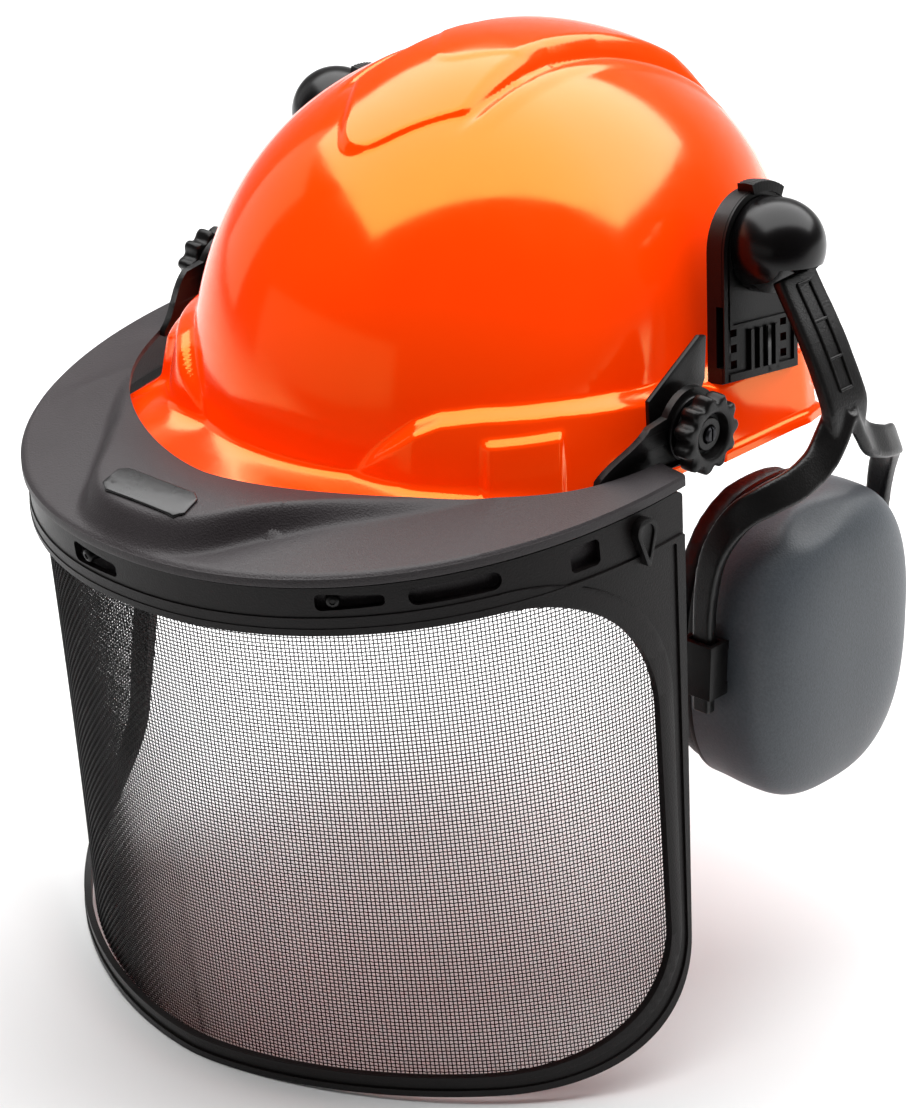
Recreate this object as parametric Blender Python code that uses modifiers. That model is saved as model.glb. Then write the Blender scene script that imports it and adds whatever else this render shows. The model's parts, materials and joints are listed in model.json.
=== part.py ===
"""Forestry hard hat: shell with suspension, tilting mesh visor and swinging ear muffs.

Frame: metres, +Z up, the wearer looks along -Y and the wearer's left is +X. The origin is
the middle of the head opening, on the plane of the shell's side rim. Shapes are worked out
in millimetres and turned to metres when a mesh is made.
"""
import math

import bmesh
import bpy
import numpy as np
from mathutils import Matrix, Vector

MM = 0.001

# Driving dimensions, in millimetres.
WALL = 2.6                        # shell wall
HALF_WIDTH = 96.0                 # dome half width at the rim, without the side band
FRONT_REACH = 113.0               # dome, centre to front
REAR_REACH = 156.0                # dome, centre to rear
DOME_HEIGHT = 138.0
GAP = 0.3                         # clearance between pieces that touch
PIVOT = np.array([116.5, -12.5, 24.5])      # left visor pivot, on the ear plate
GUARD_ORIGIN = np.array([0.0, -28.0, 14.0])
GUARD_PITCH = math.radians(4.4)   # the brow guard dips towards the front
VISOR_DROP = 227.0                # brow guard plane to the visor's lower edge
SIDE_CORNER = 96.0                # length along the sheet of the visor's lower corners
ADAPTER_BASE = np.array([108.0, 40.0, 26.4])
ADAPTER_HALF = 22.0               # half width of the muff adapter
HOUSING_AT = 50.0                 # height of the muff pivot up the adapter
CUP = np.array([131.0, 49.0, -78.0])        # centre of the left ear cup shell
CUP_SIZE = np.array([42.0, 94.0, 122.0])


# ---------------------------------------------------------------- number helpers
def smooth(x, low, high):
    """0 below low, 1 above high, with a smooth cubic step between them."""
    s = np.clip((np.asarray(x, float) - low) / (high - low), 0.0, 1.0)
    return s * s * (3.0 - 2.0 * s)


def bump(x, low, high, edge):
    """1 between low and high, falling to 0 over edge on either side."""
    return smooth(x, low - edge, low) * (1.0 - smooth(x, high, high + edge))


def superellipse(angle, a, b, power):
    """Points of a superellipse with half axes a and b."""
    c, s = np.cos(angle), np.sin(angle)
    reach = (np.abs(c / a) ** power + np.abs(s / b) ** power) ** (-1.0 / power)
    return reach * c, reach * s


def ring(count):
    return np.arange(count) * 2.0 * math.pi / count


# ---------------------------------------------------------------- mesh helpers
def clear_scene():
    for obj in list(bpy.data.objects):
        bpy.data.objects.remove(obj)


def collection(name):
    made = bpy.data.collections.new(name)
    bpy.context.scene.collection.children.link(made)
    return made


clear_scene()
PARTS = collection("hard_hat")
CUTTERS = collection("cutters")
FRAMES = {}


def new_object(name, data, where=None):
    obj = bpy.data.objects.new(name, data)
    (where or PARTS).objects.link(obj)
    return obj


def grid_object(name, table, wrap_u=False, wrap_v=False, caps=False, where=None):
    """A grid primitive carried to table[i, j] (mm). Wrapped sides are joined, open ends may be capped."""
    table = np.asarray(table, float)
    across, along = table.shape[0], table.shape[1]
    cells_u = across if wrap_u else across - 1
    cells_v = along if wrap_v else along - 1
    mesh = bmesh.new()
    bmesh.ops.create_grid(mesh, x_segments=cells_u, y_segments=cells_v, size=0.5)
    for vert in mesh.verts:
        i = int(round((vert.co.x + 0.5) * cells_u)) % across
        j = int(round((vert.co.y + 0.5) * cells_v)) % along
        vert.co = Vector(table[i, j]) * MM
    bmesh.ops.remove_doubles(mesh, verts=mesh.verts, dist=1e-6)
    mesh.normal_update()
    if caps:
        bmesh.ops.holes_fill(mesh, edges=mesh.edges, sides=0)
    bmesh.ops.recalc_face_normals(mesh, faces=mesh.faces)
    data = bpy.data.meshes.new(name)
    mesh.to_mesh(data)
    mesh.free()
    return new_object(name, data, where)


def lathe(name, profile, steps, frame, where=None):
    """Turns (radius, height) pairs about the height axis of a frame (origin, x, y, axis)."""
    origin, ex, ey, axis = frame
    profile = np.asarray(profile, float)
    turn = ring(steps)[:, None, None]
    radius, height = profile[None, :, 0, None], profile[None, :, 1, None]
    table = origin + radius * (np.cos(turn) * ex + np.sin(turn) * ey) + height * axis
    return grid_object(name, table, wrap_u=True, where=where)


def strip(name, path, width, thick, side, where=None):
    """A bar of rectangular section with rounded long edges along a path, wide along side."""
    path, side = np.asarray(path, float), np.asarray(side, float)
    ahead = np.gradient(path, axis=0)
    ahead /= np.linalg.norm(ahead, axis=1)[:, None]
    wide = side - (ahead @ side)[:, None] * ahead
    wide /= np.linalg.norm(wide, axis=1)[:, None]
    deep = np.cross(ahead, wide)
    w = np.broadcast_to(np.asarray(width, float) / 2, len(path))[:, None]
    t = np.broadcast_to(np.asarray(thick, float) / 2, len(path))[:, None]
    cut = 1.0
    corners = [(1, 1, -cut, 0), (1, 1, 0, -cut), (1, -1, 0, cut), (1, -1, -cut, 0),
               (-1, -1, cut, 0), (-1, -1, 0, cut), (-1, 1, 0, -cut), (-1, 1, cut, 0)]
    loops = [path + (sw * w + dw) * wide + (st * t + dt) * deep for sw, st, dw, dt in corners]
    return grid_object(name, np.stack(loops, 1), wrap_v=True, caps=True, where=where)


def slab(name, outline, depth, frame, holes=(), where=None):
    """A flat plate: a filled outline (with holes) in the x, y of a frame, centred on its plane."""
    origin, ex, ey, axis = frame
    curve = bpy.data.curves.new(name, "CURVE")
    curve.dimensions = "2D"
    curve.fill_mode = "BOTH"
    curve.extrude = 0.5 * depth * MM
    for loop in (outline, *holes):
        spline = curve.splines.new("POLY")
        spline.points.add(len(loop) - 1)
        for point, (x, y) in zip(spline.points, loop):
            point.co = (x * MM, y * MM, 0.0, 1.0)
        spline.use_cyclic_u = True
    holder = bpy.data.objects.new(name + "_outline", curve)
    CUTTERS.objects.link(holder)
    bpy.context.view_layer.update()
    data = bpy.data.meshes.new_from_object(holder)
    bpy.data.objects.remove(holder)
    mesh = bmesh.new()
    mesh.from_mesh(data)
    bmesh.ops.remove_doubles(mesh, verts=mesh.verts, dist=1e-6)
    bmesh.ops.recalc_face_normals(mesh, faces=mesh.faces)
    mesh.to_mesh(data)
    mesh.free()
    data.name = name
    axes = Matrix((ex, ey, axis)).transposed().to_4x4()
    data.transform(Matrix.Translation(Vector(origin) * MM) @ axes)
    if axes.determinant() < 0:
        data.flip_normals()
    return new_object(name, data, where)


def block(name, low, high, frame, where=None):
    """A box between two corners given in a frame."""
    origin, ex, ey, axis = frame
    low, high = np.asarray(low, float), np.asarray(high, float)
    mesh = bmesh.new()
    bmesh.ops.create_cube(mesh, size=1.0)
    middle, size = (low + high) / 2, high - low
    for vert in mesh.verts:
        x, y, z = middle + np.array(vert.co) * size
        vert.co = Vector(origin + x * ex + y * ey + z * axis) * MM
    mesh.normal_update()
    bmesh.ops.recalc_face_normals(mesh, faces=mesh.faces)
    data = bpy.data.meshes.new(name)
    mesh.to_mesh(data)
    mesh.free()
    return new_object(name, data, where)


def combine(target, other, operation):
    """Boolean with a helper object, which moves to the hidden cutters collection."""
    if other.name not in CUTTERS.objects:
        PARTS.objects.unlink(other)
        CUTTERS.objects.link(other)
    other.hide_render = True
    other.display_type = "WIRE"
    step = target.modifiers.new(operation.lower(), "BOOLEAN")
    step.operation = operation
    step.solver = "EXACT"
    step.object = other


def soften(obj, width, angle=30.0, segments=1):
    step = obj.modifiers.new("soft edges", "BEVEL")
    step.width = width * MM
    step.limit_method = "ANGLE"
    step.angle_limit = math.radians(angle)
    step.segments = segments


def thicken(obj, thickness, offset):
    step = obj.modifiers.new("wall", "SOLIDIFY")
    step.thickness = thickness * MM
    step.offset = offset
    step.use_even_offset = True


def settle(obj, color, roughness, frame=None, metallic=0.0):
    """Applies modifiers, gives the piece its own material, origin and parent frame."""
    bpy.context.view_layer.update()
    shaped = obj.evaluated_get(bpy.context.evaluated_depsgraph_get())
    data = bpy.data.meshes.new_from_object(shaped)
    obj.modifiers.clear()
    obj.data = data
    mesh = bmesh.new()
    mesh.from_mesh(data)
    bmesh.ops.remove_doubles(mesh, verts=mesh.verts, dist=1e-6)
    mesh.to_mesh(data)
    mesh.free()
    if frame:
        parent = FRAMES[frame]
        data.transform(Matrix.Translation(-parent.matrix_world.translation))
        obj.parent = parent
    material = bpy.data.materials.new(obj.name)
    material.use_nodes = True
    shader = material.node_tree.nodes["Principled BSDF"]
    shader.inputs["Base Color"].default_value = (*color, 1.0)
    shader.inputs["Roughness"].default_value = roughness
    shader.inputs["Metallic"].default_value = metallic
    data.materials.clear()
    data.materials.append(material)
    for face in data.polygons:
        face.use_smooth = True
    data.set_sharp_from_angle(angle=math.radians(35))


def frame_at(name, place):
    """An empty that marks a joint; its pieces are placed from it."""
    empty = bpy.data.objects.new(name, None)
    empty.location = Vector(place) * MM
    empty.empty_display_size = 0.02
    PARTS.objects.link(empty)
    FRAMES[name] = empty


def mirrored(obj, name):
    """A copy on the wearer's right."""
    data = obj.data.copy()
    data.transform(Matrix.Scale(-1.0, 4, (1, 0, 0)))
    data.flip_normals()
    copy = new_object(name, data)
    for step in obj.modifiers:
        twin = copy.modifiers.new(step.name, step.type)
        if step.type == "BEVEL":
            twin.width, twin.segments = step.width, step.segments
            twin.limit_method, twin.angle_limit = step.limit_method, step.angle_limit
        if step.type == "SOLIDIFY":
            twin.thickness, twin.offset = step.thickness, step.offset
        if step.type == "BOOLEAN":
            helper = step.object.data.copy()
            helper.transform(Matrix.Scale(-1.0, 4, (1, 0, 0)))
            helper.flip_normals()
            tool = new_object(step.object.name + "_right", helper, CUTTERS)
            tool.hide_render = True
            tool.display_type = "WIRE"
            twin.operation, twin.solver, twin.object = step.operation, step.solver, tool
    return copy


def pair(obj, stem, color, roughness, frame=None, metallic=0.0):
    """Settles a left piece and its right twin. frame is a stem whose sides are _left and _right."""
    twin = mirrored(obj, stem + "_right")
    settle(obj, color, roughness, frame and frame + "_left", metallic)
    settle(twin, color, roughness, frame and frame + "_right", metallic)


# Frames: origin, two in-plane axes and an axis, all as arrays.
EX, EY, EZ = np.eye(3)
WORLD = (np.zeros(3), EX, EY, EZ)
GUARD_BACK = np.array([0.0, math.cos(GUARD_PITCH), math.sin(GUARD_PITCH)])
GUARD_UP = np.array([0.0, -math.sin(GUARD_PITCH), math.cos(GUARD_PITCH)])
GUARD = (GUARD_ORIGIN, EX, GUARD_BACK, GUARD_UP)
OUT = np.array([0.9887, 0.0, 0.1499])
UP = np.array([-0.1488, 0.1235, 0.9811])
UP /= np.linalg.norm(UP)
BACK = np.cross(UP, OUT)
BACK /= np.linalg.norm(BACK)
OUT = np.cross(BACK, UP)
ADAPTER = (ADAPTER_BASE, BACK, UP, OUT)      # x runs back, y up, axis outwards


def adapter(back, up, out):
    return ADAPTER_BASE + back * BACK + up * UP + out * OUT


HOUSING = adapter(0.0, HOUSING_AT, 12.0)

# Colours.
ORANGE = (1.0, 0.11, 0.005)
BLACK = (0.012, 0.012, 0.013)
CHARCOAL = (0.035, 0.032, 0.031)
SLATE = (0.105, 0.12, 0.13)
STEEL = (0.55, 0.55, 0.56)
FABRIC = (0.02, 0.02, 0.024)
FOAM = (0.06, 0.06, 0.065)


# ---------------------------------------------------------------- shell
def shell_point(angle, rise):
    """Outer surface of the shell in mm. angle turns round the hat; rise is 0 at the rim, 1 on top."""
    across, along = np.cos(angle), np.sin(angle)
    reach = np.where(along < 0, FRONT_REACH, REAR_REACH)
    plan = (np.abs(across / HALF_WIDTH) ** 2.1 + np.abs(along / reach) ** 2.1) ** (-1 / 2.1)
    degrees = np.degrees(np.arctan2(along, np.abs(across)))
    front = smooth(-degrees, 28.0, 66.0)
    rear = smooth(degrees, 25.0, 70.0)
    rim = 2.5 * front - 6.0 * rear
    height = rim + (DOME_HEIGHT - rim) * np.sin(0.5 * math.pi * rise ** 1.35)
    share = np.clip(height / DOME_HEIGHT, 0.0, 1.0)
    radius = plan * (1.0 - share ** 2.5) ** (1 / 2.0)
    climb = smooth(degrees, -71.0, -58.0)
    ledge = 12.0 + 24.0 * climb - 6.0 * smooth(degrees, -45.0, 20.0)
    band = climb * (1.0 - smooth(height, ledge - 5.0, ledge + 0.5))
    radius = radius + band * (6.0 + 4.0 * (1.0 - height / 36.0))
    lug = bump(degrees, -45.5, -31.5, 2.2) * (1.0 - smooth(height, 25.0, 28.5))
    radius = radius + 3.4 * lug
    low = 1.0 - smooth(height, rim, rim + 13.0)
    radius = radius + (34.0 * front ** 1.2 + 7.0 * rear) * low ** 2
    return np.stack([radius * across, radius * along, height], -1)


def crest_lift(points):
    """Raises the crest that runs along the top of the shell."""
    x, y, z = points[..., 0], points[..., 1], points[..., 2]
    side = np.abs(x)
    half = 26.0 + 5.0 * smooth(y, 0.0, 90.0)
    tip = -69.0 + 1.05 * side
    step = smooth(y, tip, tip + 3.0) * (1.0 - smooth(side, half - 1.0, half + 6.0))
    lift = 1.6 + 4.5 * smooth(y, -45.0, 15.0)
    lift = lift * (1.0 - 0.99 * smooth(y, 92.0, 118.0))
    raised = step * lift * smooth(z, 40.0, 70.0)
    scale = 1.0 + raised / np.maximum(np.linalg.norm(points, axis=-1), 1.0)
    return points * scale[..., None]


def build_shell():
    columns, rows = 64, 18
    turn = ring(columns)[:, None]
    rise = np.concatenate([[0, .03, .07, .11, .15, .19, .235, .28], np.linspace(.34, 1.0, rows - 8)])
    shell = grid_object("shell", crest_lift(shell_point(turn, rise[None, :])), wrap_u=True)
    thicken(shell, WALL, -1)
    for side in (1.0, -1.0):
        flip = np.array([side, 1.0, 1.0])
        corners = []
        for back in (-24.0, 24.0):
            loop = [(-0.3, -11.5), (-0.3, 3.0), (-24.0, 6.0), (-24.0, -11.5)]
            corners.append([adapter(back, up, out) * flip for up, out in loop])
        boss = grid_object("accessory_boss", np.array(corners), wrap_v=True, caps=True, where=CUTTERS)
        combine(shell, boss, "UNION")
        frame = (ADAPTER_BASE * flip, BACK * flip, UP * flip, OUT * flip)
        slot = block("accessory_slot", (-14.6, -60.0, -5.6), (14.6, 12.0, -1.6), frame, CUTTERS)
        combine(shell, slot, "DIFFERENCE")
    settle(shell, ORANGE, 0.12)


# ---------------------------------------------------------------- suspension
def band_table(start, end, count, a, b, centre, low, high, power=2.2):
    """A standing band: heights low(angle) to high(angle) on a superellipse wall."""
    angle = np.radians(np.linspace(start, end, count))
    x, y = superellipse(angle, a, b, power)
    bottom = np.stack([x, y + centre, low + 0 * x], -1)
    top = np.stack([x, y + centre, high + 0 * x], -1)
    return np.stack([bottom, top], 1)


def build_headband():
    angle = ring(48)
    x, y = superellipse(angle, 80.0, 99.0, 2.2)
    table = np.stack([np.stack([x, y + 2.0, -4.0 + 0 * x], -1), np.stack([x, y + 2.0, 26.0 + 0 * x], -1)], 1)
    band = grid_object("headband", table, wrap_u=True)
    thicken(band, 1.6, 0)
    settle(band, CHARCOAL, 0.5)
    pad = grid_object("brow_pad", band_table(-158, -22, 30, 76.7, 95.7, 2.0, -7.0, 28.0))
    thicken(pad, 4.0, 0)
    settle(pad, FABRIC, 0.9)


def key_frame(degrees):
    """Frame of a hanger key: x runs round the band, y up, axis outwards."""
    angle = math.radians(degrees)
    x, y = superellipse(np.array([angle]), 80.0, 99.0, 2.2)
    there = np.array([x[0], y[0] + 2.0, 0.0])
    x2, y2 = superellipse(np.array([angle + 0.01]), 80.0, 99.0, 2.2)
    along = np.array([x2[0], y2[0] + 2.0, 0.0]) - there
    along /= np.linalg.norm(along)
    return there, along, EZ, np.cross(along, EZ)


KEYS = {"hanger_front_left": -42.0, "hanger_front_right": -138.0,
        "hanger_rear_left": 42.0, "hanger_rear_right": 138.0}


def build_hangers():
    for name, degrees in KEYS.items():
        frame = key_frame(degrees)
        outline = [(-13, 6), (13, 6), (13, 40), (7, 49), (-7, 49), (-13, 40)]
        slot = [(-10.8, 33.0), (10.8, 33.0), (10.8, 36.4), (-10.8, 36.4)]
        origin, along, up, out = frame
        key = slab(name, outline, 3.0, (origin + out * (0.8 + GAP + 1.5), along, up, out), [slot])
        settle(key, CHARCOAL, 0.45)


def strap_path(start, end, crown, count):
    """Arch from one key to the opposite one, over the crown."""
    t = np.linspace(0.0, math.pi, count)
    a, b = np.array(start), np.array(end)
    middle = (a + b) / 2
    half = (a - b) / 2
    path = middle + np.cos(t)[:, None] * half
    path[:, 2] = a[2] + (crown - a[2]) * np.sin(t) ** 0.85
    return path


def build_straps():
    for name, ends, crown in (("crown_strap_a", ("hanger_front_left", "hanger_rear_right"), 97.0),
                              ("crown_strap_b", ("hanger_front_right", "hanger_rear_left"), 99.0)):
        points, tangents = [], []
        for key in ends:
            origin, along, up, out = key_frame(KEYS[key])
            points.append(origin + up * 34.7 + out * 0.2)
            tangents.append(along)
        path = strap_path(points[0], points[1], crown, 25)
        run = points[0] - points[1]
        side = np.cross(run / np.linalg.norm(run), EZ)
        across = np.tile(side, (len(path), 1))
        turn = smooth(path[:, 2], 50.0, 84.0)[:, None]
        for half, tangent in ((slice(0, 12), tangents[0]), (slice(13, 25), tangents[1])):
            flat = tangent * np.sign(tangent @ side)
            across[half] = flat + (side - flat) * turn[half]
        left, right = path - 9.5 * across, path + 9.5 * across
        strap = grid_object(name, np.stack([left, right], 1))
        thicken(strap, 1.1, 0)
        settle(strap, FABRIC, 0.85)
    around = ring(24)
    px, py = superellipse(around, 27.0, 27.0, 4.0)
    turn = math.radians(45)
    outline = [(c * math.cos(turn) - s * math.sin(turn), c * math.sin(turn) + s * math.cos(turn) + 2.0)
               for c, s in zip(px, py)]
    pad = slab("crown_pad", outline, 4.0, (np.array([0.0, 0.0, 89.5]), EX, EY, EZ))
    settle(pad, FABRIC, 0.9)


def build_nape():
    count = 25
    degrees = np.linspace(54.0, 126.0, count)
    angle = np.radians(degrees)
    x, y = superellipse(angle, 85.2, 104.2, 2.2)
    middle = 9.0 - 37.0 * bump(degrees, 68.0, 112.0, 30.0)
    half = 11.0 - 2.0 * bump(degrees, 68.0, 112.0, 30.0)
    low = np.stack([x, y + 2.0, middle - half], -1)
    high = np.stack([x, y + 2.0, middle + half], -1)
    band = grid_object("nape_band", np.stack([low, high], 1))
    thicken(band, 1.6, 0)
    settle(band, CHARCOAL, 0.5, "nape_slide")
    # Housing: a shallow case behind the band, with a cover on its inner side.
    px, pz = superellipse(ring(28), 34.0, 15.0, 3.0)
    case = slab("ratchet_housing", list(zip(px, pz)), 10.0,
                (np.array([0.0, 112.8, -28.0]), EX, EZ, -EY))
    bore = lathe("ratchet_bore", [(0, -20), (8.0, -20), (8.0, 20), (0, 20)], 24,
                 (np.array([0.0, 112.4, -28.0]), EX, EZ, EY), CUTTERS)
    combine(case, bore, "DIFFERENCE")
    soften(case, 1.5, 50)
    settle(case, CHARCOAL, 0.4, "nape_slide")
    pad = grid_object("nape_pad", band_table(66, 114, 17, 80.6, 99.6, 2.0, -41.0, -15.0))
    thicken(pad, 5.0, 0)
    settle(pad, FABRIC, 0.9, "nape_slide")
    lobes = ring(48)
    radius = 16.0 + 1.1 * np.sign(np.cos(12 * lobes + 0.4))
    wheel = slab("ratchet_knob", list(zip(radius * np.cos(lobes), radius * np.sin(lobes))), 12.0,
                 (np.array([0.0, 124.0, -28.0]), EX, EZ, -EY))
    soften(wheel, 1.0, 50)
    settle(wheel, BLACK, 0.4, "ratchet_turn")
    teeth = ring(32)
    radius = 6.4 + 0.9 * np.sign(np.cos(8 * teeth))
    pinion = slab("ratchet_pinion", list(zip(radius * np.cos(teeth), radius * np.sin(teeth))), 9.0,
                  (np.array([0.0, 113.0, -28.0]), EX, EZ, -EY))
    settle(pinion, BLACK, 0.4, "ratchet_turn")


# ---------------------------------------------------------------- brow guard and visor
def guard_rims(angle):
    """Inner and outer rim of the brow guard in its own frame; angle 0 is the left end."""
    ix, iy = superellipse(angle, 117.0, 116.5, 1.68)
    ox, oy = superellipse(angle, 128.7, 163.0, 2.15)
    return np.stack([ix, -iy], -1), np.stack([ox, -oy], -1)


def guard_point(x, y, z):
    return GUARD_ORIGIN + np.asarray(x)[..., None] * EX + np.asarray(y)[..., None] * GUARD_BACK \
        + np.asarray(z)[..., None] * GUARD_UP


def build_guard():
    count = 39
    angle = np.linspace(0.0, math.pi, count)
    inner, outer = guard_rims(angle)
    front = smooth(np.sin(angle), 0.3, 1.0)
    loop = []
    # Top from the inner to the outer rim, then lip, flange and the underside back.
    top = [(0.0, 1.8 + 8.5 * front), (0.34, 2.2 + 10.5 * front), (0.66, 2.0 + 11.5 * front),
           (0.9, 0.8 + 4.5 * front), (1.0, 0.0 * front)]
    loop += top
    loop.append((1.0, -4.6))
    sections = []
    for share, rise in loop:
        flat = inner + (outer - inner) * share
        sections.append(guard_point(flat[:, 0], flat[:, 1], rise + 0 * angle))
    for drop, inset in ((4.6, 4.8), (21.0, 4.8), (21.0, 7.2), (3.4, 7.2)):
        sections.append(visor_sheet(angle / math.pi, drop + 0 * angle, inset))
    for share, rise in reversed(top[:3]):
        flat = inner + (outer - inner) * share
        sections.append(guard_point(flat[:, 0], flat[:, 1], rise - 2.4))
    guard = grid_object("brow_guard", np.stack(sections, 1), wrap_v=True, caps=True)
    # Ears: upright plates that carry the pivots; their front ends lean in to the inner rim.
    for side in (1.0, -1.0):
        flip = np.array([side, 1.0, 1.0])
        arc = np.radians(np.linspace(150.0, -70.0, 13))
        outline = [(-43.0, -13.0), (-42.5, -10.5), (-23.0, 6.5)]
        outline += [(15.5 * math.cos(a), 15.5 * math.sin(a)) for a in arc]
        outline += [(-10.0, -13.0), (-22.0, -13.0)]
        ear = slab("ear", outline, 2.8, (PIVOT * flip, EY, EZ, EX), where=CUTTERS)
        for vert in ear.data.vertices:
            lean = 7.0 * float(smooth(-vert.co.y / MM, 36.0, 55.5))
            vert.co.x -= side * lean * MM
        combine(guard, ear, "UNION")
        pivot = (PIVOT * flip, EY, EZ, EX)
        bore = lathe("ear_bore", [(0, -9), (3.3, -9), (3.3, 9), (0, 9)], 16, pivot, CUTTERS)
        combine(guard, bore, "DIFFERENCE")
    settle(guard, CHARCOAL, 0.55, "visor_tilt")
    plate = slab("badge_plate", [(-20, -5), (-16, -8.5), (20, -8.5), (22, -6), (20, 5), (16, 8.5), (-20, 8.5),
                                 (-22, 6)], 1.0, (guard_point(0.0, -142.5, 14.4), EX, GUARD_BACK, GUARD_UP))
    settle(plate, BLACK, 0.3, "visor_tilt")


def visor_sheet(around, drop, inset):
    """A point of the bent visor sheet. around: 0 left edge to 1 right edge; drop below the guard plane."""
    share = drop / 200.0
    angle = math.pi * around
    top = superellipse(angle, 127.6 - inset, 162.0 - inset, 2.15)
    low = superellipse(angle, 145.5 - inset, 122.0 - inset, 1.74)
    x = top[0] + (low[0] - top[0]) * share
    y = -(top[1] + (low[1] - top[1]) * share) - 24.0 * share
    return guard_point(x, y, -drop)


def arc_share(count):
    """Parameters of points spread evenly by length round the sheet, at half height."""
    fine = np.linspace(0.0, 1.0, 721)
    points = visor_sheet(fine, 100.0 + 0 * fine, 1.5)
    length = np.concatenate([[0], np.cumsum(np.linalg.norm(np.diff(points, axis=0), axis=1))])
    return np.interp(np.linspace(0, length[-1], count), length, fine), length[-1]


FINE_SHARE, SHEET_LENGTH = arc_share(2001)


def sheet_point(along, drop, inset):
    """Like visor_sheet, with along in mm from the middle of the sheet (positive to the left)."""
    around = np.interp(0.5 - np.asarray(along) / SHEET_LENGTH, np.linspace(0, 1, 2001), FINE_SHARE)
    return visor_sheet(around, np.asarray(drop, float), inset)


def round_frame(half, top, bottom, top_radius, side_radius, low_radius, count):
    """Closed loop of a window: flat top, rounded corners, deep lower corners (along, drop)."""
    points = []
    quarter = np.linspace(0.0, math.pi / 2, count)
    for turn in quarter:
        points.append((half - top_radius + top_radius * math.sin(turn),
                       top + top_radius - top_radius * math.cos(turn)))
    for turn in quarter:
        points.append((half - side_radius + side_radius * math.cos(turn),
                       bottom - low_radius + low_radius * math.sin(turn)))
    points = np.array(points)
    other = points[::-1] * np.array([-1.0, 1.0])
    return np.concatenate([points, other])


def subdivided(loop, steps):
    """The loop with each side cut into its own number of equal steps."""
    rows = []
    for a, b, count in zip(loop, np.roll(loop, -1, axis=0), steps):
        rows += [a + (b - a) * k / count for k in range(count)]
    return np.array(rows)


def build_visor():
    half = SHEET_LENGTH / 2
    outer = round_frame(half, 6.0, VISOR_DROP, 2.0, SIDE_CORNER, 48.0, 9)
    inner = round_frame(half - 14.0, 25.0, VISOR_DROP - 8.5, 60.0, SIDE_CORNER - 10.0, 46.0, 9)
    # More points along the straight runs, so the sheet bends evenly.
    gaps = np.linalg.norm(np.roll(outer, -1, axis=0) - outer, axis=1)
    steps = np.maximum(1, np.round(gaps / 13.0).astype(int))
    wide, narrow = subdivided(outer, steps), subdivided(inner, steps)
    columns = [sheet_point(*(wide + (narrow - wide) * k).T, 1.6) for k in (0.0, 0.5, 1.0)]
    frame = grid_object("visor_frame", np.stack(columns, 1), wrap_u=True)
    thicken(frame, 2.4, 0)
    settle(frame, BLACK, 0.45, "visor_tilt")
    # Mesh: a thin sheet just behind the frame, a little larger than its window.
    rows = 9
    drops = np.linspace(22.5, VISOR_DROP - 5.0, rows)
    edge = round_frame(half - 8.0, 22.5, VISOR_DROP - 5.0, 52.0, SIDE_CORNER - 6.0, 48.0, 24)
    right = edge[:48]
    reach = np.interp(drops, right[:, 1], right[:, 0])
    reach[0] = right[0, 0]
    reach[-1] = right[-1, 0]
    spread_u = np.linspace(-1.0, 1.0, 29)
    along = spread_u[:, None] * reach[None, :]
    table = sheet_point(along, np.broadcast_to(drops, along.shape), 5.0)
    net = grid_object("visor_mesh", table)
    thicken(net, 0.9, 0)
    settle(net, BLACK, 0.6, "visor_tilt")


def build_latches():
    along, drop = 0.5 * SHEET_LENGTH - 17.5, 12.5
    here = sheet_point(along, drop, 1.6)
    beside = sheet_point(along - 4.0, drop, 1.6) - here
    beside /= np.linalg.norm(beside)
    below = sheet_point(along, drop + 4.0, 1.6) - here
    below /= np.linalg.norm(below)
    out = np.cross(beside, below)
    out *= np.sign(out[0])
    arc = np.radians(np.linspace(-20.0, 200.0, 14))
    drop_shape = [(5.0 * math.cos(a), 5.0 * math.sin(a)) for a in arc] + [(0.0, -14.0)]
    frame = (here + out * (1.2 + GAP + 2.0), beside, -below, out)
    latch = slab("visor_latch_left", drop_shape, 4.0, frame)
    soften(latch, 0.8, 40)
    place = {"left": here + out * 3.0, "right": (here + out * 3.0) * np.array([-1, 1, 1])}
    for side, at in place.items():
        frame_at("latch_turn_" + side, at)
        FRAMES["latch_turn_" + side].parent = FRAMES["visor_tilt"]
        FRAMES["latch_turn_" + side].location = Vector(at) * MM - FRAMES["visor_tilt"].location
    return latch


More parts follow.
